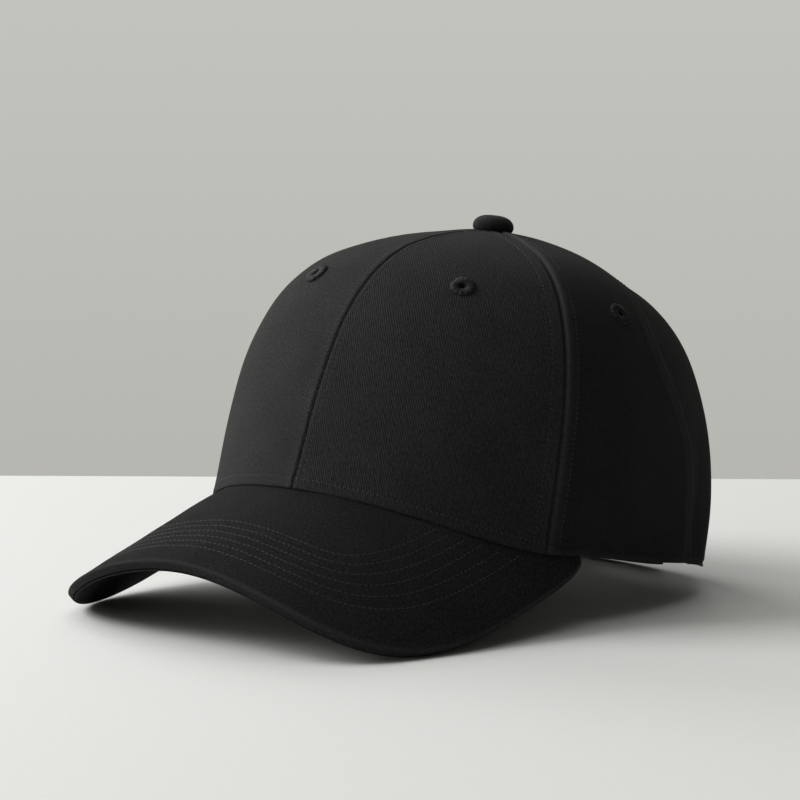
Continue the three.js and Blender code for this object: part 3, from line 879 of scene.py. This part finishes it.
# Painted shade: the needle holes are coloured near-black, for the shade in the pits
HOLE = grained("needle_hole_painted_shade", (0.002, 0.002, 0.002), (0.006, 0.006, 0.006),
               (3.0, 2.0), (0.1, 0.9), 0.00005, 0.5, Specular_IOR_Level=0.1)
HOOK = grained("hook_tape", (0.008, 0.008, 0.009), (0.028, 0.028, 0.03),
               (2.0, 3.0), (0.2, 0.4), 0.0001, 0.6)
LOOP = grained("loop_tape", (0.006, 0.006, 0.007), (0.045, 0.045, 0.047),
               (0.9, 6.0, 0.8), (0.0, 0.95), 0.0008, 1.0, Sheen_Weight=0.7, Sheen_Roughness=0.6)
METAL = metal_material()
BOARD = grained("visor_plastic", (0.03, 0.03, 0.032), (0.055, 0.055, 0.058),
                (1.2, 4.0), (0.2, 0.45), 0.0002, 0.6, (0.06, 2.0))


# Crown panels


def eyelet_mask(turns, climbs, label, reach):
    """Cells of a panel's grid that lie within reach of an eyelet's middle."""
    points = crown(turns, climbs)
    middle = (points[:-1, :-1] + points[1:, :-1] + points[1:, 1:] + points[:-1, 1:]) / 4
    return np.linalg.norm(middle - crown(*EYELETS[label]), axis=-1) < reach


def panel_grid(turns, start, count, inset):
    share = graded(0, 1, count, [(0, 4, 0.02), (0, 1.5, 0.06)])
    first = start(turns)[:, None]
    climbs = first + (PANEL_TOP - first) * share[None]
    spread = np.broadcast_to(turns[:, None], climbs.shape)
    centre = (turns[0] + turns[-1]) / 2
    half = (turns[-1] - turns[0]) / 2
    pull = inset / mm_per_turn(spread, climbs) * (spread - centre) / abs(half)
    return along_seams(spread, climbs) - pull, climbs


def panel(place, label, turns, start, cloth):
    grid_turns, climbs = panel_grid(turns, start, 150, 0.06)
    out = relief(grid_turns, climbs)
    deep = np.minimum(np.clip(out - CLOTH, -1.25, None), out - 0.3)
    per_turn = mm_per_turn(grid_turns, climbs)
    edges = (along_seams(turns[0], climbs), along_seams(turns[-1], climbs))
    first, last = (np.abs(grid_turns - edge) * per_turn for edge in edges)
    near = np.minimum(first, last)
    wear_and_highlight = 0.5 * bell(near - 1.5, 1.1) + 0.5 * bell(climbs * CROWN_ARC - 1.2, 1.2)
    wear_and_highlight = wear_and_highlight + 0.35 * step_down(near, TOPSTITCH, 0.5)
    if cloth is SIDE_SHADED_CLOTH:
        wear_and_highlight = 0.3 * wear_and_highlight
    # Painted highlight: each side panel gets a lighter band just behind its side seam, stronger towards the
    # top, for the light that the rolled edge catches
    if place == "side":
        wear_and_highlight = wear_and_highlight + 0.42 * bell(first - 1.0, 1.2) * (0.35 + 0.65 * climbs)
    outer, inner = below(grid_turns, climbs, -out), below(grid_turns, climbs, -deep)
    uv = cloth_uv(grid_turns, climbs)
    holes = eyelet_mask(grid_turns, climbs, f"{place}_{label}", SHANK_REACH)
    sheet_piece(f"{place}_panel_{label}", "cloth", "crown_twill", outer, inner, cloth, uv, wear_and_highlight, holes)


def hem_drop(turns):
    """The hem hangs a little lower just behind the wearer's left rear seam."""
    return HEM_DROP / mm_per_climb(turns) * bell(turns - HEM_DROP_TURN, HEM_DROP_WIDTH)


def low_start(turns):
    return PANEL_START - hem_drop(turns)


def rear_start(turns):
    return np.where(opening_climb(turns) > 0, opening_climb(turns), -hem_drop(turns))


def seam_to_seam(low, high, count):
    reach = 0.04 * (high - low)
    return graded(low, high, count, [(low, 5, reach), (high, 5, reach)])


def rear_turns():
    flank = graded(REAR_SEAM, OPENING_EDGE, 58, [(REAR_SEAM, 4, 2.2), (OPENING_EDGE, 2.5, 1.5)])
    swing = graded(0, 90, 66, [(90, 3.5, 4.5), (0, 1, 6)])
    return np.concatenate([flank[:-1], 180 - OPENING_HALF_ANGLE * np.cos(np.radians(swing))])


# The wearer's right front panel takes the painted-light copy of the crown cloth, and the side and rear
# panels take the painted-shade copy
for label, side, cloth in (("left", 1, CROWN_CLOTH), ("right", -1, RIGHT_LIT_CLOTH)):
    panel("front", label, side * seam_to_seam(0, SIDE_SEAM, 104), low_start, cloth)
    panel("side", label, side * seam_to_seam(SIDE_SEAM, REAR_SEAM, 84), low_start, SIDE_SHADED_CLOTH)
    panel("rear", label, side * rear_turns(), rear_start, SIDE_SHADED_CLOTH)


def buckram(label, side):
    turns = side * np.linspace(0, SIDE_SEAM, 33)
    grid_turns, climbs = panel_grid(turns, lambda t: np.full(t.shape, 0.03), 48, 1.1)
    base = crown(grid_turns, climbs)
    ripple = 0.06 * np.sin(base[..., 2] * 0.5) * np.sin(base[..., 0] * 0.43)
    outer, inner = below(grid_turns, climbs, 1.32), below(grid_turns, climbs, 1.8 + ripple)
    uv = cloth_uv(grid_turns, climbs)
    holes = eyelet_mask(grid_turns, climbs, f"front_{label}", SHANK_REACH + 0.5)
    sheet_piece(f"front_buckram_{label}", "cloth", "buckram", outer, inner, BUCKRAM, uv, holes=holes)


for label, side in (("left", 1), ("right", -1)):
    buckram(label, side)


# Topstitching on the crown


def outside_row(turns, climbs):
    return cloth_at(turns, climbs), crown_normal(turns, climbs)


def inside_row(turns, climbs, depth):
    return below(turns, climbs, depth), -crown_normal(turns, climbs)


def seam_rows(seams, low=ROW_LOW):
    """A row on each side of every seam, ending where the panels get too narrow for it."""
    rows = []
    for seam in seams:
        for side in (1, -1):
            climbs = np.linspace(low, ROW_HIGH, 260)
            turns = beside_seam(seam, climbs, side * SEAM_STITCH[seam])
            keep = SEAM_STITCH[seam] / mm_per_turn(turns, climbs) < NARROWEST
            rows.append(outside_row(turns[keep], climbs[keep]))
    return rows


def rim_row(first, last):
    turns = np.linspace(first, last, 400)
    return outside_row(turns, RIM_STITCH / mm_per_climb(turns))


ARCH_SWEEP = np.radians(np.linspace(-88.5, 88.5, 320))
RIM_END = OPENING_EDGE - 1.0
front_rows = seam_rows((0, SIDE_SEAM, -SIDE_SEAM)) + [rim_row(-SIDE_SEAM, SIDE_SEAM)]
rear_rows = seam_rows((REAR_SEAM, -REAR_SEAM)) + seam_rows((180,), OPENING_CLIMB + 0.062)
arch_rows = [outside_row(*arch_line(distance, ARCH_SWEEP)) for distance in ARCH_STITCHES]
sew("topstitch_front", front_rows, THREAD)
sew("topstitch_rear", rear_rows, DARK_THREAD)
sew("topstitch_rim", [rim_row(-RIM_END, -SIDE_SEAM), rim_row(SIDE_SEAM, RIM_END)], DARK_THREAD)
sew("topstitch_arch", arch_rows, DARK_THREAD)


# Eyelets: satin stitches wrapped round a hole

# Round an eyelet's section: radius, height, and how much the thread swells it
EYELET_SECTION = np.array([
    (1.2, -1.0, 0), (1.1, -0.4, 0.3), (1.12, 0.15, 0.8), (1.35, 0.55, 1),
    (1.8, 0.85, 1), (2.4, 1.02, 1), (3.1, 1.08, 1), (3.7, 1.0, 1),
    (4.25, 0.8, 1), (4.6, 0.48, 1), (4.75, 0.05, 0.8), (4.7, -0.3, 0),
    (4.3, -0.42, 0), (3.6, -0.45, 0), (2.5, -0.5, 0), (1.7, -1.0, 0),
])


def eyelet(label):
    turn, climb = EYELETS[label]
    around = np.radians(np.linspace(0, 360, EYELET_SPOKES * 6, endpoint=False))[:, None]
    radius, height, thread = EYELET_SECTION.T
    lobes = np.abs(np.cos(around * EYELET_SPOKES / 2)) ** 0.7 - 0.6
    uneven = 0.5 * np.sin(around * 3 + turn) + 0.4 * np.sin(around * 7 + 2 * turn)
    uneven = uneven + 0.5 * np.sin(around * 13 + 3 * turn)
    r = radius * (1 + 0.05 * uneven * thread)
    z = height + thread * (0.2 * lobes + 0.09 * uneven)
    normal = crown_normal(turn, climb)
    across = unit(one_turn(turn, climb))
    upward = np.cross(normal, across)
    outward = np.cos(around)[..., None] * across + np.sin(around)[..., None] * upward
    points = cloth_at(turn, climb) + r[..., None] * outward + z[..., None] * normal
    uv = np.stack(grids(radius, around * 3), -1).reshape(-1, 2)
    obj = ring_object(f"eyelet_{label}_stitched", points, EYELET_THREAD, uv)
    finish_piece(obj, "cap", "thread", f"eyelet_{label}")


for place in EYELETS:
    eyelet(place)


# Visor


def visor_bearings(count):
    share = np.linspace(-1, 1, count + 1)
    return VISOR_LAST_BEARING * (0.55 * share + 0.45 * np.sin(share * math.pi / 2))


def visor_plan(bearings, stand, flat, margin, side):
    """Plan points along each bearing, from stand millimetres off the rim. flat holds shares of the way out,
    to margin millimetres short of the outline, and side holds distances in from the outline."""
    inner = inner_edge_at(bearings, stand)[:, None]
    outer = outline_at(bearings)[:, None]
    length = np.linalg.norm(outer - inner, axis=-1)
    top = (length - margin) * (1 - flat) + margin
    insets = np.concatenate([top, np.broadcast_to(side, (len(length), len(side)))], 1)
    return inner + (outer - inner) * (1 - insets / length)[..., None]


def top_cover():
    bearings = visor_bearings(300)
    flat = graded(0, 1, 92, [(0, 3, 0.03), (1, 2, 0.02)])
    bend = np.radians(np.linspace(0, 90, 8))[1:]
    down = [1.6, 2.3, 2.85, LIP - 0.1, LIP]

    def layer(offset, last_inset):
        """Plan and depths of one face, turned down round a corner to the lip."""
        corner = max(CORNER - offset, 0.15)
        side = [*(offset + corner * (1 - np.sin(bend))), offset, offset, offset, offset + 0.02, last_inset]
        turned = offset + corner * (1 - np.cos(bend))
        depths = np.concatenate([np.full(len(flat), offset), turned, down])
        return visor_plan(bearings, -0.75, flat, corner + offset, side), depths

    plan, depths = layer(0.0, 0.28)
    past = np.arange(len(depths)) - len(flat)
    outer = visor_at(plan, depths - visor_relief(plan) * np.where(past < 0, 1, 0.3))
    inner = visor_at(*layer(0.7, 0.7))
    reach = running_length(outer[150])
    uv = np.stack([plan[..., 0], plan[..., 1] - np.maximum(reach - reach[len(flat)], 0)], -1)
    wear_and_highlight = np.broadcast_to(1.1 * bell((past - 1) / 4.0, 0.9) + 0.25 * (past > 2), outer.shape[:2])
    sheet_piece("visor_top_cover", "cloth", "visor_twill", outer, inner, VISOR_CLOTH, uv, wear_and_highlight)


def under_cover():
    bearings = visor_bearings(220)
    flat = graded(0, 1, 60, [(0, 2, 0.03), (1, 3, 0.02)])
    bend = np.radians(np.linspace(0, 90, 7))[1:]
    low_plan = visor_plan(bearings, 0.3, flat, 0.75, 0.15 + 0.6 * (1 - np.sin(bend)))
    high_plan = visor_plan(bearings, 0.3, flat, 0.85, np.linspace(0.8, 0.35, len(bend)))
    low_depth = np.concatenate([np.full(len(flat), UNDERSIDE), 3.72 + 0.58 * np.cos(bend)])
    past = np.arange(len(low_depth)) - len(flat)
    low = visor_at(low_plan, low_depth + 0.8 * visor_relief(low_plan) * (past < 0))
    high = visor_at(high_plan, np.where(past < 0, 3.55, 3.5))
    wear_and_highlight = np.broadcast_to(0.6 * bell((past - 2) / 3.0, 1.0), low.shape[:2])
    sheet = (low, high, VISOR_CLOTH, low_plan, wear_and_highlight)
    sheet_piece("visor_under_cover", "cloth", "visor_twill", *sheet, on_floor=True)


def visor_rows(depth, outward):
    """Rows parallel to the visor's outline, each ending where it meets the crown."""
    line = OUTLINE[::10]
    line = np.concatenate([line[::-1] * [-1, 1], line[1:]])
    ahead = np.gradient(line, axis=0)
    inward = unit(np.stack([-ahead[:, 1], ahead[:, 0]], -1))
    rows = []
    for distance in VISOR_ROWS:
        plan = line + inward * distance
        plan = plan[(outline_distance(plan) > distance - 0.4) & (rim_distance(plan) > 1.2)]
        rows.append((visor_at(plan, depth - outward * visor_relief(plan)), outward * visor_normal(plan)))
    return rows


top_cover()
under_cover()
sew("topstitch_visor", visor_rows(0.0, 1.0), VISOR_THREAD, VISOR_STITCH)
sew("understitch_visor", visor_rows(UNDERSIDE, -1.0), VISOR_THREAD, VISOR_STITCH)


# Trims inside the crown


def seam_tape(name, seam, low=TAPE_LOW):
    across = np.linspace(-TAPE_HALF_WIDTH, TAPE_HALF_WIDTH, 23)
    across, climbs = np.meshgrid(across, np.linspace(low, TAPE_HIGH, 120), indexing="ij")
    turns = beside_seam(seam, climbs, across)
    ridge = 0.1 * bell(across, 1.4) - 0.12 * bell(np.abs(across) - TOPSTITCH, 0.7)
    outer, inner = below(turns, climbs, 2.3), below(turns, climbs, 2.8 + ridge)
    uv = np.stack(grids(across, running_length(outer[11])), -1)
    sheet_piece(name, "woven", "trim_tape", outer, inner, TAPE, uv)
    climbs = np.linspace(low + 0.01, TAPE_HIGH - 0.01, 200)
    return [inside_row(beside_seam(seam, climbs, side * TOPSTITCH), climbs, 2.7) for side in (1, -1)]


inside_rows = []
for label, side in (("left", 1), ("right", -1)):
    inside_rows += seam_tape(f"seam_tape_side_{label}", side * SIDE_SEAM)
    inside_rows += seam_tape(f"seam_tape_back_{label}", side * REAR_SEAM)
inside_rows += seam_tape("seam_tape_front_centre", 0)
inside_rows += seam_tape("seam_tape_rear_centre", 180, OPENING_CLIMB + 0.085)
sew("understitch_tapes", inside_rows, THREAD)


def sweatband():
    """Folded band inside the rim, drawn towards the panels at its lower edge and full in the middle."""

    def drawn_out(height):
        return 2.1 * bell(height, 2.3)

    def swell(height):
        return 0.45 * np.sin(np.pi * height / BAND_HEIGHT) ** 0.7

    height = graded(0, 1, 30, [(0, 4, 0.05), (1, 3, 0.04)]) * BAND_HEIGHT
    turns, height = np.meshgrid(np.linspace(-BAND_END, BAND_END, 361), height, indexing="ij")
    climbs = climb_for(height) + 0.003
    pucker = 0.1 * np.sin(turns * 1.9 + np.sin(turns * 0.7)) * bell(height - 5, 5)
    edge = 0.35 * bell(height, 0.8) + 0.3 * bell(height - BAND_HEIGHT, 0.8)
    sewn = -0.15 * bell(height - BAND_STITCHES[0], 0.6) - 0.12 * bell(height - BAND_STITCHES[1], 0.6)
    outer = below(turns, climbs, 3.25 - drawn_out(height) + edge)
    inner = below(turns, climbs, 4.1 - drawn_out(height) + swell(height) + pucker - edge + sewn)
    uv = np.stack(grids(running_length(outer[:, 15])[:, None], height), -1)
    wear_and_highlight = 0.7 * bell(height - 31, 1.5) + 0.5 * bell(height - 1, 1.2)
    sheet_piece("sweatband", "cloth", "sweatband_cloth", outer, inner, BAND_CLOTH, uv, wear_and_highlight)
    turns = np.linspace(1 - BAND_END, BAND_END - 1, 900)
    rows = [
        inside_row(turns, climb_for(level) + 0.003, depth - drawn_out(level) + swell(level))
        for level, depth in zip(BAND_STITCHES, (3.75, 4.15))
    ]
    sew("understitch_sweatband", rows, THREAD)


def binding():
    """Tape round the rear opening, folded over the panels' cut edge."""
    out = np.array([-0.9, -0.85, -0.6, 0.0, 0.8, 1.8, 2.2, 2.6, 4, 6, 8, 8.6, 9.2, 10])
    wrap = np.array([0.15, 0.6, 1.15, 1.4, 1.5, 1.5, 1.45, 1.5, 1.5, 1.5, 1.5, 1.45, 1.5, 1.55])
    sweep, out = np.meshgrid(np.radians(np.linspace(-90, 90, 121)), out, indexing="ij")
    turns, climbs = arch_line(out, sweep)
    outer, inner = below(turns, climbs, wrap), below(turns, climbs, np.maximum(wrap + 0.55, 1.0))
    uv = np.stack(grids(out, running_length(outer[:, 3])[:, None]), -1)
    sheet_piece("rear_opening_binding", "woven", "trim_tape", outer, inner, TAPE, uv)
    sweep = np.radians(np.linspace(-88, 88, 320))
    rows = [inside_row(*arch_line(distance, sweep), 2.0) for distance in ARCH_STITCHES]
    sew("understitch_arch", rows, THREAD)


sweatband()
binding()


# Closure


def strap_climb(turn, height):
    """Climb of a point this far up the strap, whose lower edge sags below the rim."""
    away = (turn - 180) / SAG_HALF_ANGLE
    sag = -STRAP_SAG * (1 - np.where(away < 0, away**6, 1 - np.cos(math.pi / 2 * away)))
    return climb_for(sag + height)


def band_point(turn, height, depth):
    return below(turn, strap_climb(turn, height), depth)


def strap_grid(turns, heights):
    """Grids over part of the strap, with each point's distance in from the nearest edge."""
    turns, heights = np.meshgrid(turns, heights, indexing="ij")
    ends = np.minimum(turns - turns[0, 0], turns[-1, 0] - turns) * STRAP_TURN
    sides = np.minimum(heights - heights[0, 0], heights[0, -1] - heights)
    return turns, heights, np.minimum(sides, ends), np.stack([heights, turns * STRAP_TURN], -1)


def closure_band(name, span, depths, columns):
    turns = graded(*span, columns, [(span[0], 4, 0.8), (span[1], 4, 0.8)])
    heights = graded(0, 1, 34, [(0, 4, 0.03), (1, 4, 0.03)]) * STRAP_WIDTH
    turns, heights, edge, uv = strap_grid(turns, heights)
    inset = 0.28 * bell(edge, 0.5) + 0.1 * bell(edge - 2.0, 0.5) - 0.06 * np.clip(edge / 3, 0, 1)
    faces = (band_point(turns, heights, depth) for depth in (depths[0] + inset, depths[1] - inset))
    return sheet_object(name, *faces, TAPE, uv, 0.8 * bell(edge - 0.4, 0.8), on_floor=True)


def band_rows(span, outside, inside, margin=2.0):
    """Rows round a band's edge on both faces."""
    low, high = span[0] + margin / STRAP_TURN, span[1] - margin / STRAP_TURN
    turns = np.linspace(low, high, 300)
    levels = np.linspace(margin, STRAP_WIDTH - margin, 80)
    rows = []
    for path in ((turns, margin), (turns, STRAP_WIDTH - margin), (low, levels), (high, levels)):
        path_turns, path_levels = grids(*path)
        normal = crown_normal(path_turns, strap_climb(path_turns, path_levels))
        rows.append((band_point(path_turns, path_levels, outside), normal))
        rows.append((band_point(path_turns, path_levels, inside), -normal))
    return rows


strap = closure_band("closure_strap_webbing", STRAP_SPAN, (2.4, 3.3), 110)
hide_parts("closure_strap", "strap_anchor")
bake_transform(strap)

tab = closure_band("closure_tab_webbing", TAB_SPAN, (5.4, 6.3), 80)
finish_piece(tab, "cap", "trim_tape", "closure_tab")

# The strap is left without a parent, so the strap's thread lets go of the cap first
strap_thread = sew("topstitch_strap", band_rows(STRAP_SPAN, 2.5, 3.2), THREAD)
world = strap_thread.matrix_world.copy()
strap_thread.parent = None
strap_thread.matrix_world = world
del strap_thread["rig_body"]
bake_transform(strap_thread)
sew("topstitch_tab", band_rows(TAB_SPAN, 5.5, 6.2), THREAD)


def patch_base(name, span, depths, material):
    heights = np.linspace(PATCH_MARGIN, STRAP_WIDTH - PATCH_MARGIN, 19)
    turns, heights, edge, uv = strap_grid(np.linspace(*span, 41), heights)
    inset = 0.15 * bell(edge, 0.6)
    faces = (band_point(turns, heights, depth) for depth in (depths[0] + inset, depths[1] - inset))
    return sheet_object(name, *faces, material, uv, 0 * edge)


def patch_frame(turns, heights, depth, outward):
    """Where threads stand on a patch: their feet, and the directions out, along and up the cloth."""
    climbs = strap_climb(turns, heights)
    normal = outward * crown_normal(turns, climbs)
    side = unit(one_turn(turns, climbs))
    return below(turns, climbs, depth), normal, side, np.cross(normal, side)


# Up one hook: lean, height and half width
HOOK_SHAPE = ((0, -0.02, 0.14), (0, 0.2, 0.11), (0.05, 0.34, 0.1), (0.18, 0.4, 0.09), (0.27, 0.32, 0.06))


def hook_field(span, depth):
    """Small bent hooks standing on the strap's inner face, all in one mesh."""
    rise, spread = np.meshgrid(np.arange(3.6, 17, 1.15), np.arange(span[0] + 0.6, span[1] - 0.4, 0.75))
    base, normal, side, up = patch_frame(spread.ravel(), rise.ravel(), depth, -1)
    rings = []
    for lean, high, size in HOOK_SHAPE:
        centre = base + up * lean + normal * high
        rings += ring_points(centre, side, up, np.radians([45, 135, 225, 315]), size)
    faces = tube_faces(5, 4, [(3, 2, 1, 0), (16, 17, 18, 19)], len(base))
    points = np.stack(rings, 1).reshape(-1, 3)
    return make_object("hook_patch_hooks", to_world(points), faces, HOOK, sharp=None)


def loop_pile(span, depth):
    """Short curled threads on the tab's outer face, all in one mesh."""
    rise, spread = np.meshgrid(np.arange(3.4, 17, 0.95), np.arange(span[0] + 0.5, span[1] - 0.3, 0.6))
    rise = rise.ravel() + rng.uniform(-0.3, 0.3, rise.size)
    spread = spread.ravel() + rng.uniform(-0.2, 0.2, spread.size)
    base, normal, side, up = patch_frame(spread, rise, depth, 1)
    angle = rng.uniform(0, 2 * math.pi, len(base))[:, None]
    lean = side * np.cos(angle) + up * np.sin(angle)
    cross = np.cross(normal, lean)
    rings = []
    for bow in np.linspace(0, math.pi, 6):
        centre = base + lean * (0.42 * (1 - math.cos(bow)) - 0.42) + normal * (0.2 * math.sin(bow) + 0.02)
        rings += ring_points(centre, cross, normal, np.radians([0, 120, 240]), 0.07)
    points = np.stack(rings, 1).reshape(-1, 3)
    faces = tube_faces(6, 3, [], len(base)).tolist()
    for end in ((2, 1, 0), (15, 16, 17)):
        faces += (np.array(end) + 18 * np.arange(len(base))[:, None]).tolist()
    obj = add_mesh("loop_patch_pile", to_world(points).tolist(), faces, LOOP)
    obj.data.shade_smooth()
    return obj


hook_base = patch_base("hook_patch_base", HOOK_SPAN, (3.6, 3.85), HOOK)
finish_piece(hook_base, "strap", "hook_tape", "hook_patch")
finish_piece(hook_field(HOOK_SPAN, 3.85), "strap", "hook_tape")
loop_base = patch_base("loop_patch_base", LOOP_SPAN, (4.75, 5.15), LOOP)
finish_piece(loop_base, "cap", "loop_tape", "loop_patch")
finish_piece(loop_pile(LOOP_SPAN, 4.75), "cap", "loop_tape")


# Button


def button_cover():
    """Cloth drawn over the button, with small gathers where it turns under."""
    around = np.radians(np.linspace(0, 360, 168, endpoint=False))[:, None]
    up = np.radians(np.concatenate([np.linspace(0, 80, 22), [84, 87, 89.2]]))
    tuck = np.radians(np.linspace(-62, -6, 8))
    tuck_z = BUTTON_SEAT + 2.5 * np.sin(tuck)
    outside_z = BUTTON_SEAT + (BUTTON_HEIGHT - BUTTON_SEAT) * np.sin(up)
    radius = np.concatenate([
        BUTTON_RADIUS - 2.0 + 2.0 * np.cos(tuck),
        BUTTON_RADIUS * np.cos(up) ** BUTTON_SQUARENESS,
        (BUTTON_RADIUS - 0.75) * np.cos(up[::-1]) ** BUTTON_SQUARENESS,
        BUTTON_RADIUS - 2.0 + 1.3 * np.cos(tuck[::-1]),
    ])
    height = np.concatenate([
        tuck_z,
        outside_z,
        BUTTON_SEAT + (BUTTON_HEIGHT - BUTTON_SEAT - 0.75) * np.sin(up[::-1]),
        BUTTON_SEAT + 1.9 * np.sin(tuck[::-1]),
    ])
    outside = [bell(tuck_z - 0.8, 1.6), bell(outside_z - 1.4, 1.4)]
    gathers = np.concatenate([*outside, np.zeros(len(up)), np.full(len(tuck), 0.3)])
    folds = 0.035 * np.sin(around * 17 + np.sin(around * 2)) + 0.03 * np.sin(around * 11 + 1)
    soft = 0.09 * np.sin(around * 3 + 0.5) + 0.06 * np.sin(around * 5 + 2)
    r = radius + gathers * folds + soft * np.minimum(radius / 7, 1) * (gathers > 0.05)
    points = np.stack([r * np.cos(around), r * np.sin(around), np.broadcast_to(height, r.shape)], -1)
    points = points + np.array([0, APEX_BACK, CROWN_HEIGHT])
    uv = points[..., :2] + np.stack([0 * r, points[..., 2]], -1)
    wear_and_highlight = np.broadcast_to(0.5 * bell(height - 4.5, 1.2), r.shape).ravel()
    obj = ring_object("button_cover_cloth", points, BUTTON_LIT_CLOTH, uv.reshape(-1, 2), wear_and_highlight, 60)
    finish_piece(obj, "cap", "crown_twill", "button_cover")


button_cover()

for node, material in (("button_shell", METAL), ("button_rivet", METAL), ("visor_board", BOARD)):
    carried = frame["nodes"][node]
    carried.data.materials.clear()
    carried.data.materials.append(material)


# Light and floor


def add_area(name, azimuth, elevation, distance, size, power):
    back = direction(azimuth, elevation)
    data = bpy.data.lights.new(name, "AREA")
    data.shape = "RECTANGLE"
    data.size, data.size_y = size
    data.energy = power
    light = bpy.data.objects.new(name, data)
    light.location = Vector((0, 0.03, 0.05)) + back * distance
    light.rotation_mode = "QUATERNION"
    light.rotation_quaternion = back.to_track_quat("Z", "Y")
    bpy.context.scene.collection.objects.link(light)


def add_world():
    """A soft pale room, brighter behind the cap and on the key light's side."""
    bright = LEVEL_AWAY * 0.45 - LEVEL_RIGHT * 0.89
    world = bpy.data.worlds.new("studio")
    n = Nodes(world)
    where = n.add("ShaderNodeTexCoord").outputs["Generated"]
    height = n.add("ShaderNodeSeparateXYZ", {0: where}).outputs["Z"]
    level = n.add("ShaderNodeMapRange", {"Value": height, "From Min": -0.18, "From Max": -0.06})
    shade = n.ramp(level.outputs["Result"], (0, (0.455, 0.45, 0.42)), (1, (0.56, 0.56, 0.525)))
    facing = n.add("ShaderNodeVectorMath", {0: where, 1: bright}, operation="DOT_PRODUCT").outputs["Value"]
    span = {"Value": facing, "From Min": -0.35, "From Max": 0.4, "To Min": 0.09, "To Max": 1.0}
    side = n.add("ShaderNodeMapRange", span, interpolation_type="SMOOTHSTEP").outputs["Result"]
    color = n.mix(1.0, shade, side, "MULTIPLY")
    background = n.add("ShaderNodeBackground", {"Color": color, "Strength": 1.0})
    n.add("ShaderNodeOutputWorld", {"Surface": background.outputs[0]})
    bpy.context.scene.world = world


def add_floor():
    """A pale table top whose far edge crosses behind the cap, square to the camera."""
    centre = Vector((VIEW_CENTRE[0], VIEW_CENTRE[1], 0))
    near, far, half = -2.6, 0.243, 3.0
    places = ((-half, near), (half, near), (half, far), (-half, far))
    corners = [centre + LEVEL_RIGHT * x + LEVEL_AWAY * y for x, y in places]
    points = [tuple(c) for c in corners + [c - Vector((0, 0, 0.02)) for c in corners]]
    faces = [(0, 1, 2, 3), (7, 6, 5, 4), (0, 4, 5, 1), (1, 5, 6, 2), (2, 6, 7, 3), (3, 7, 4, 0)]
    floor = add_mesh("floor", points, faces, paper_material())
    floor.location.z = -0.0002


add_area("key", -53, 37, 2.7, (1.6, 1.4), 56)
add_area("left", -104, 22, 2.8, (1.4, 1.4), 27)
add_area("overhead", 0, 86, 1.9, (1.5, 1.5), 5)
add_world()
add_floor()
bpy.context.scene.view_settings.view_transform = "Standard"
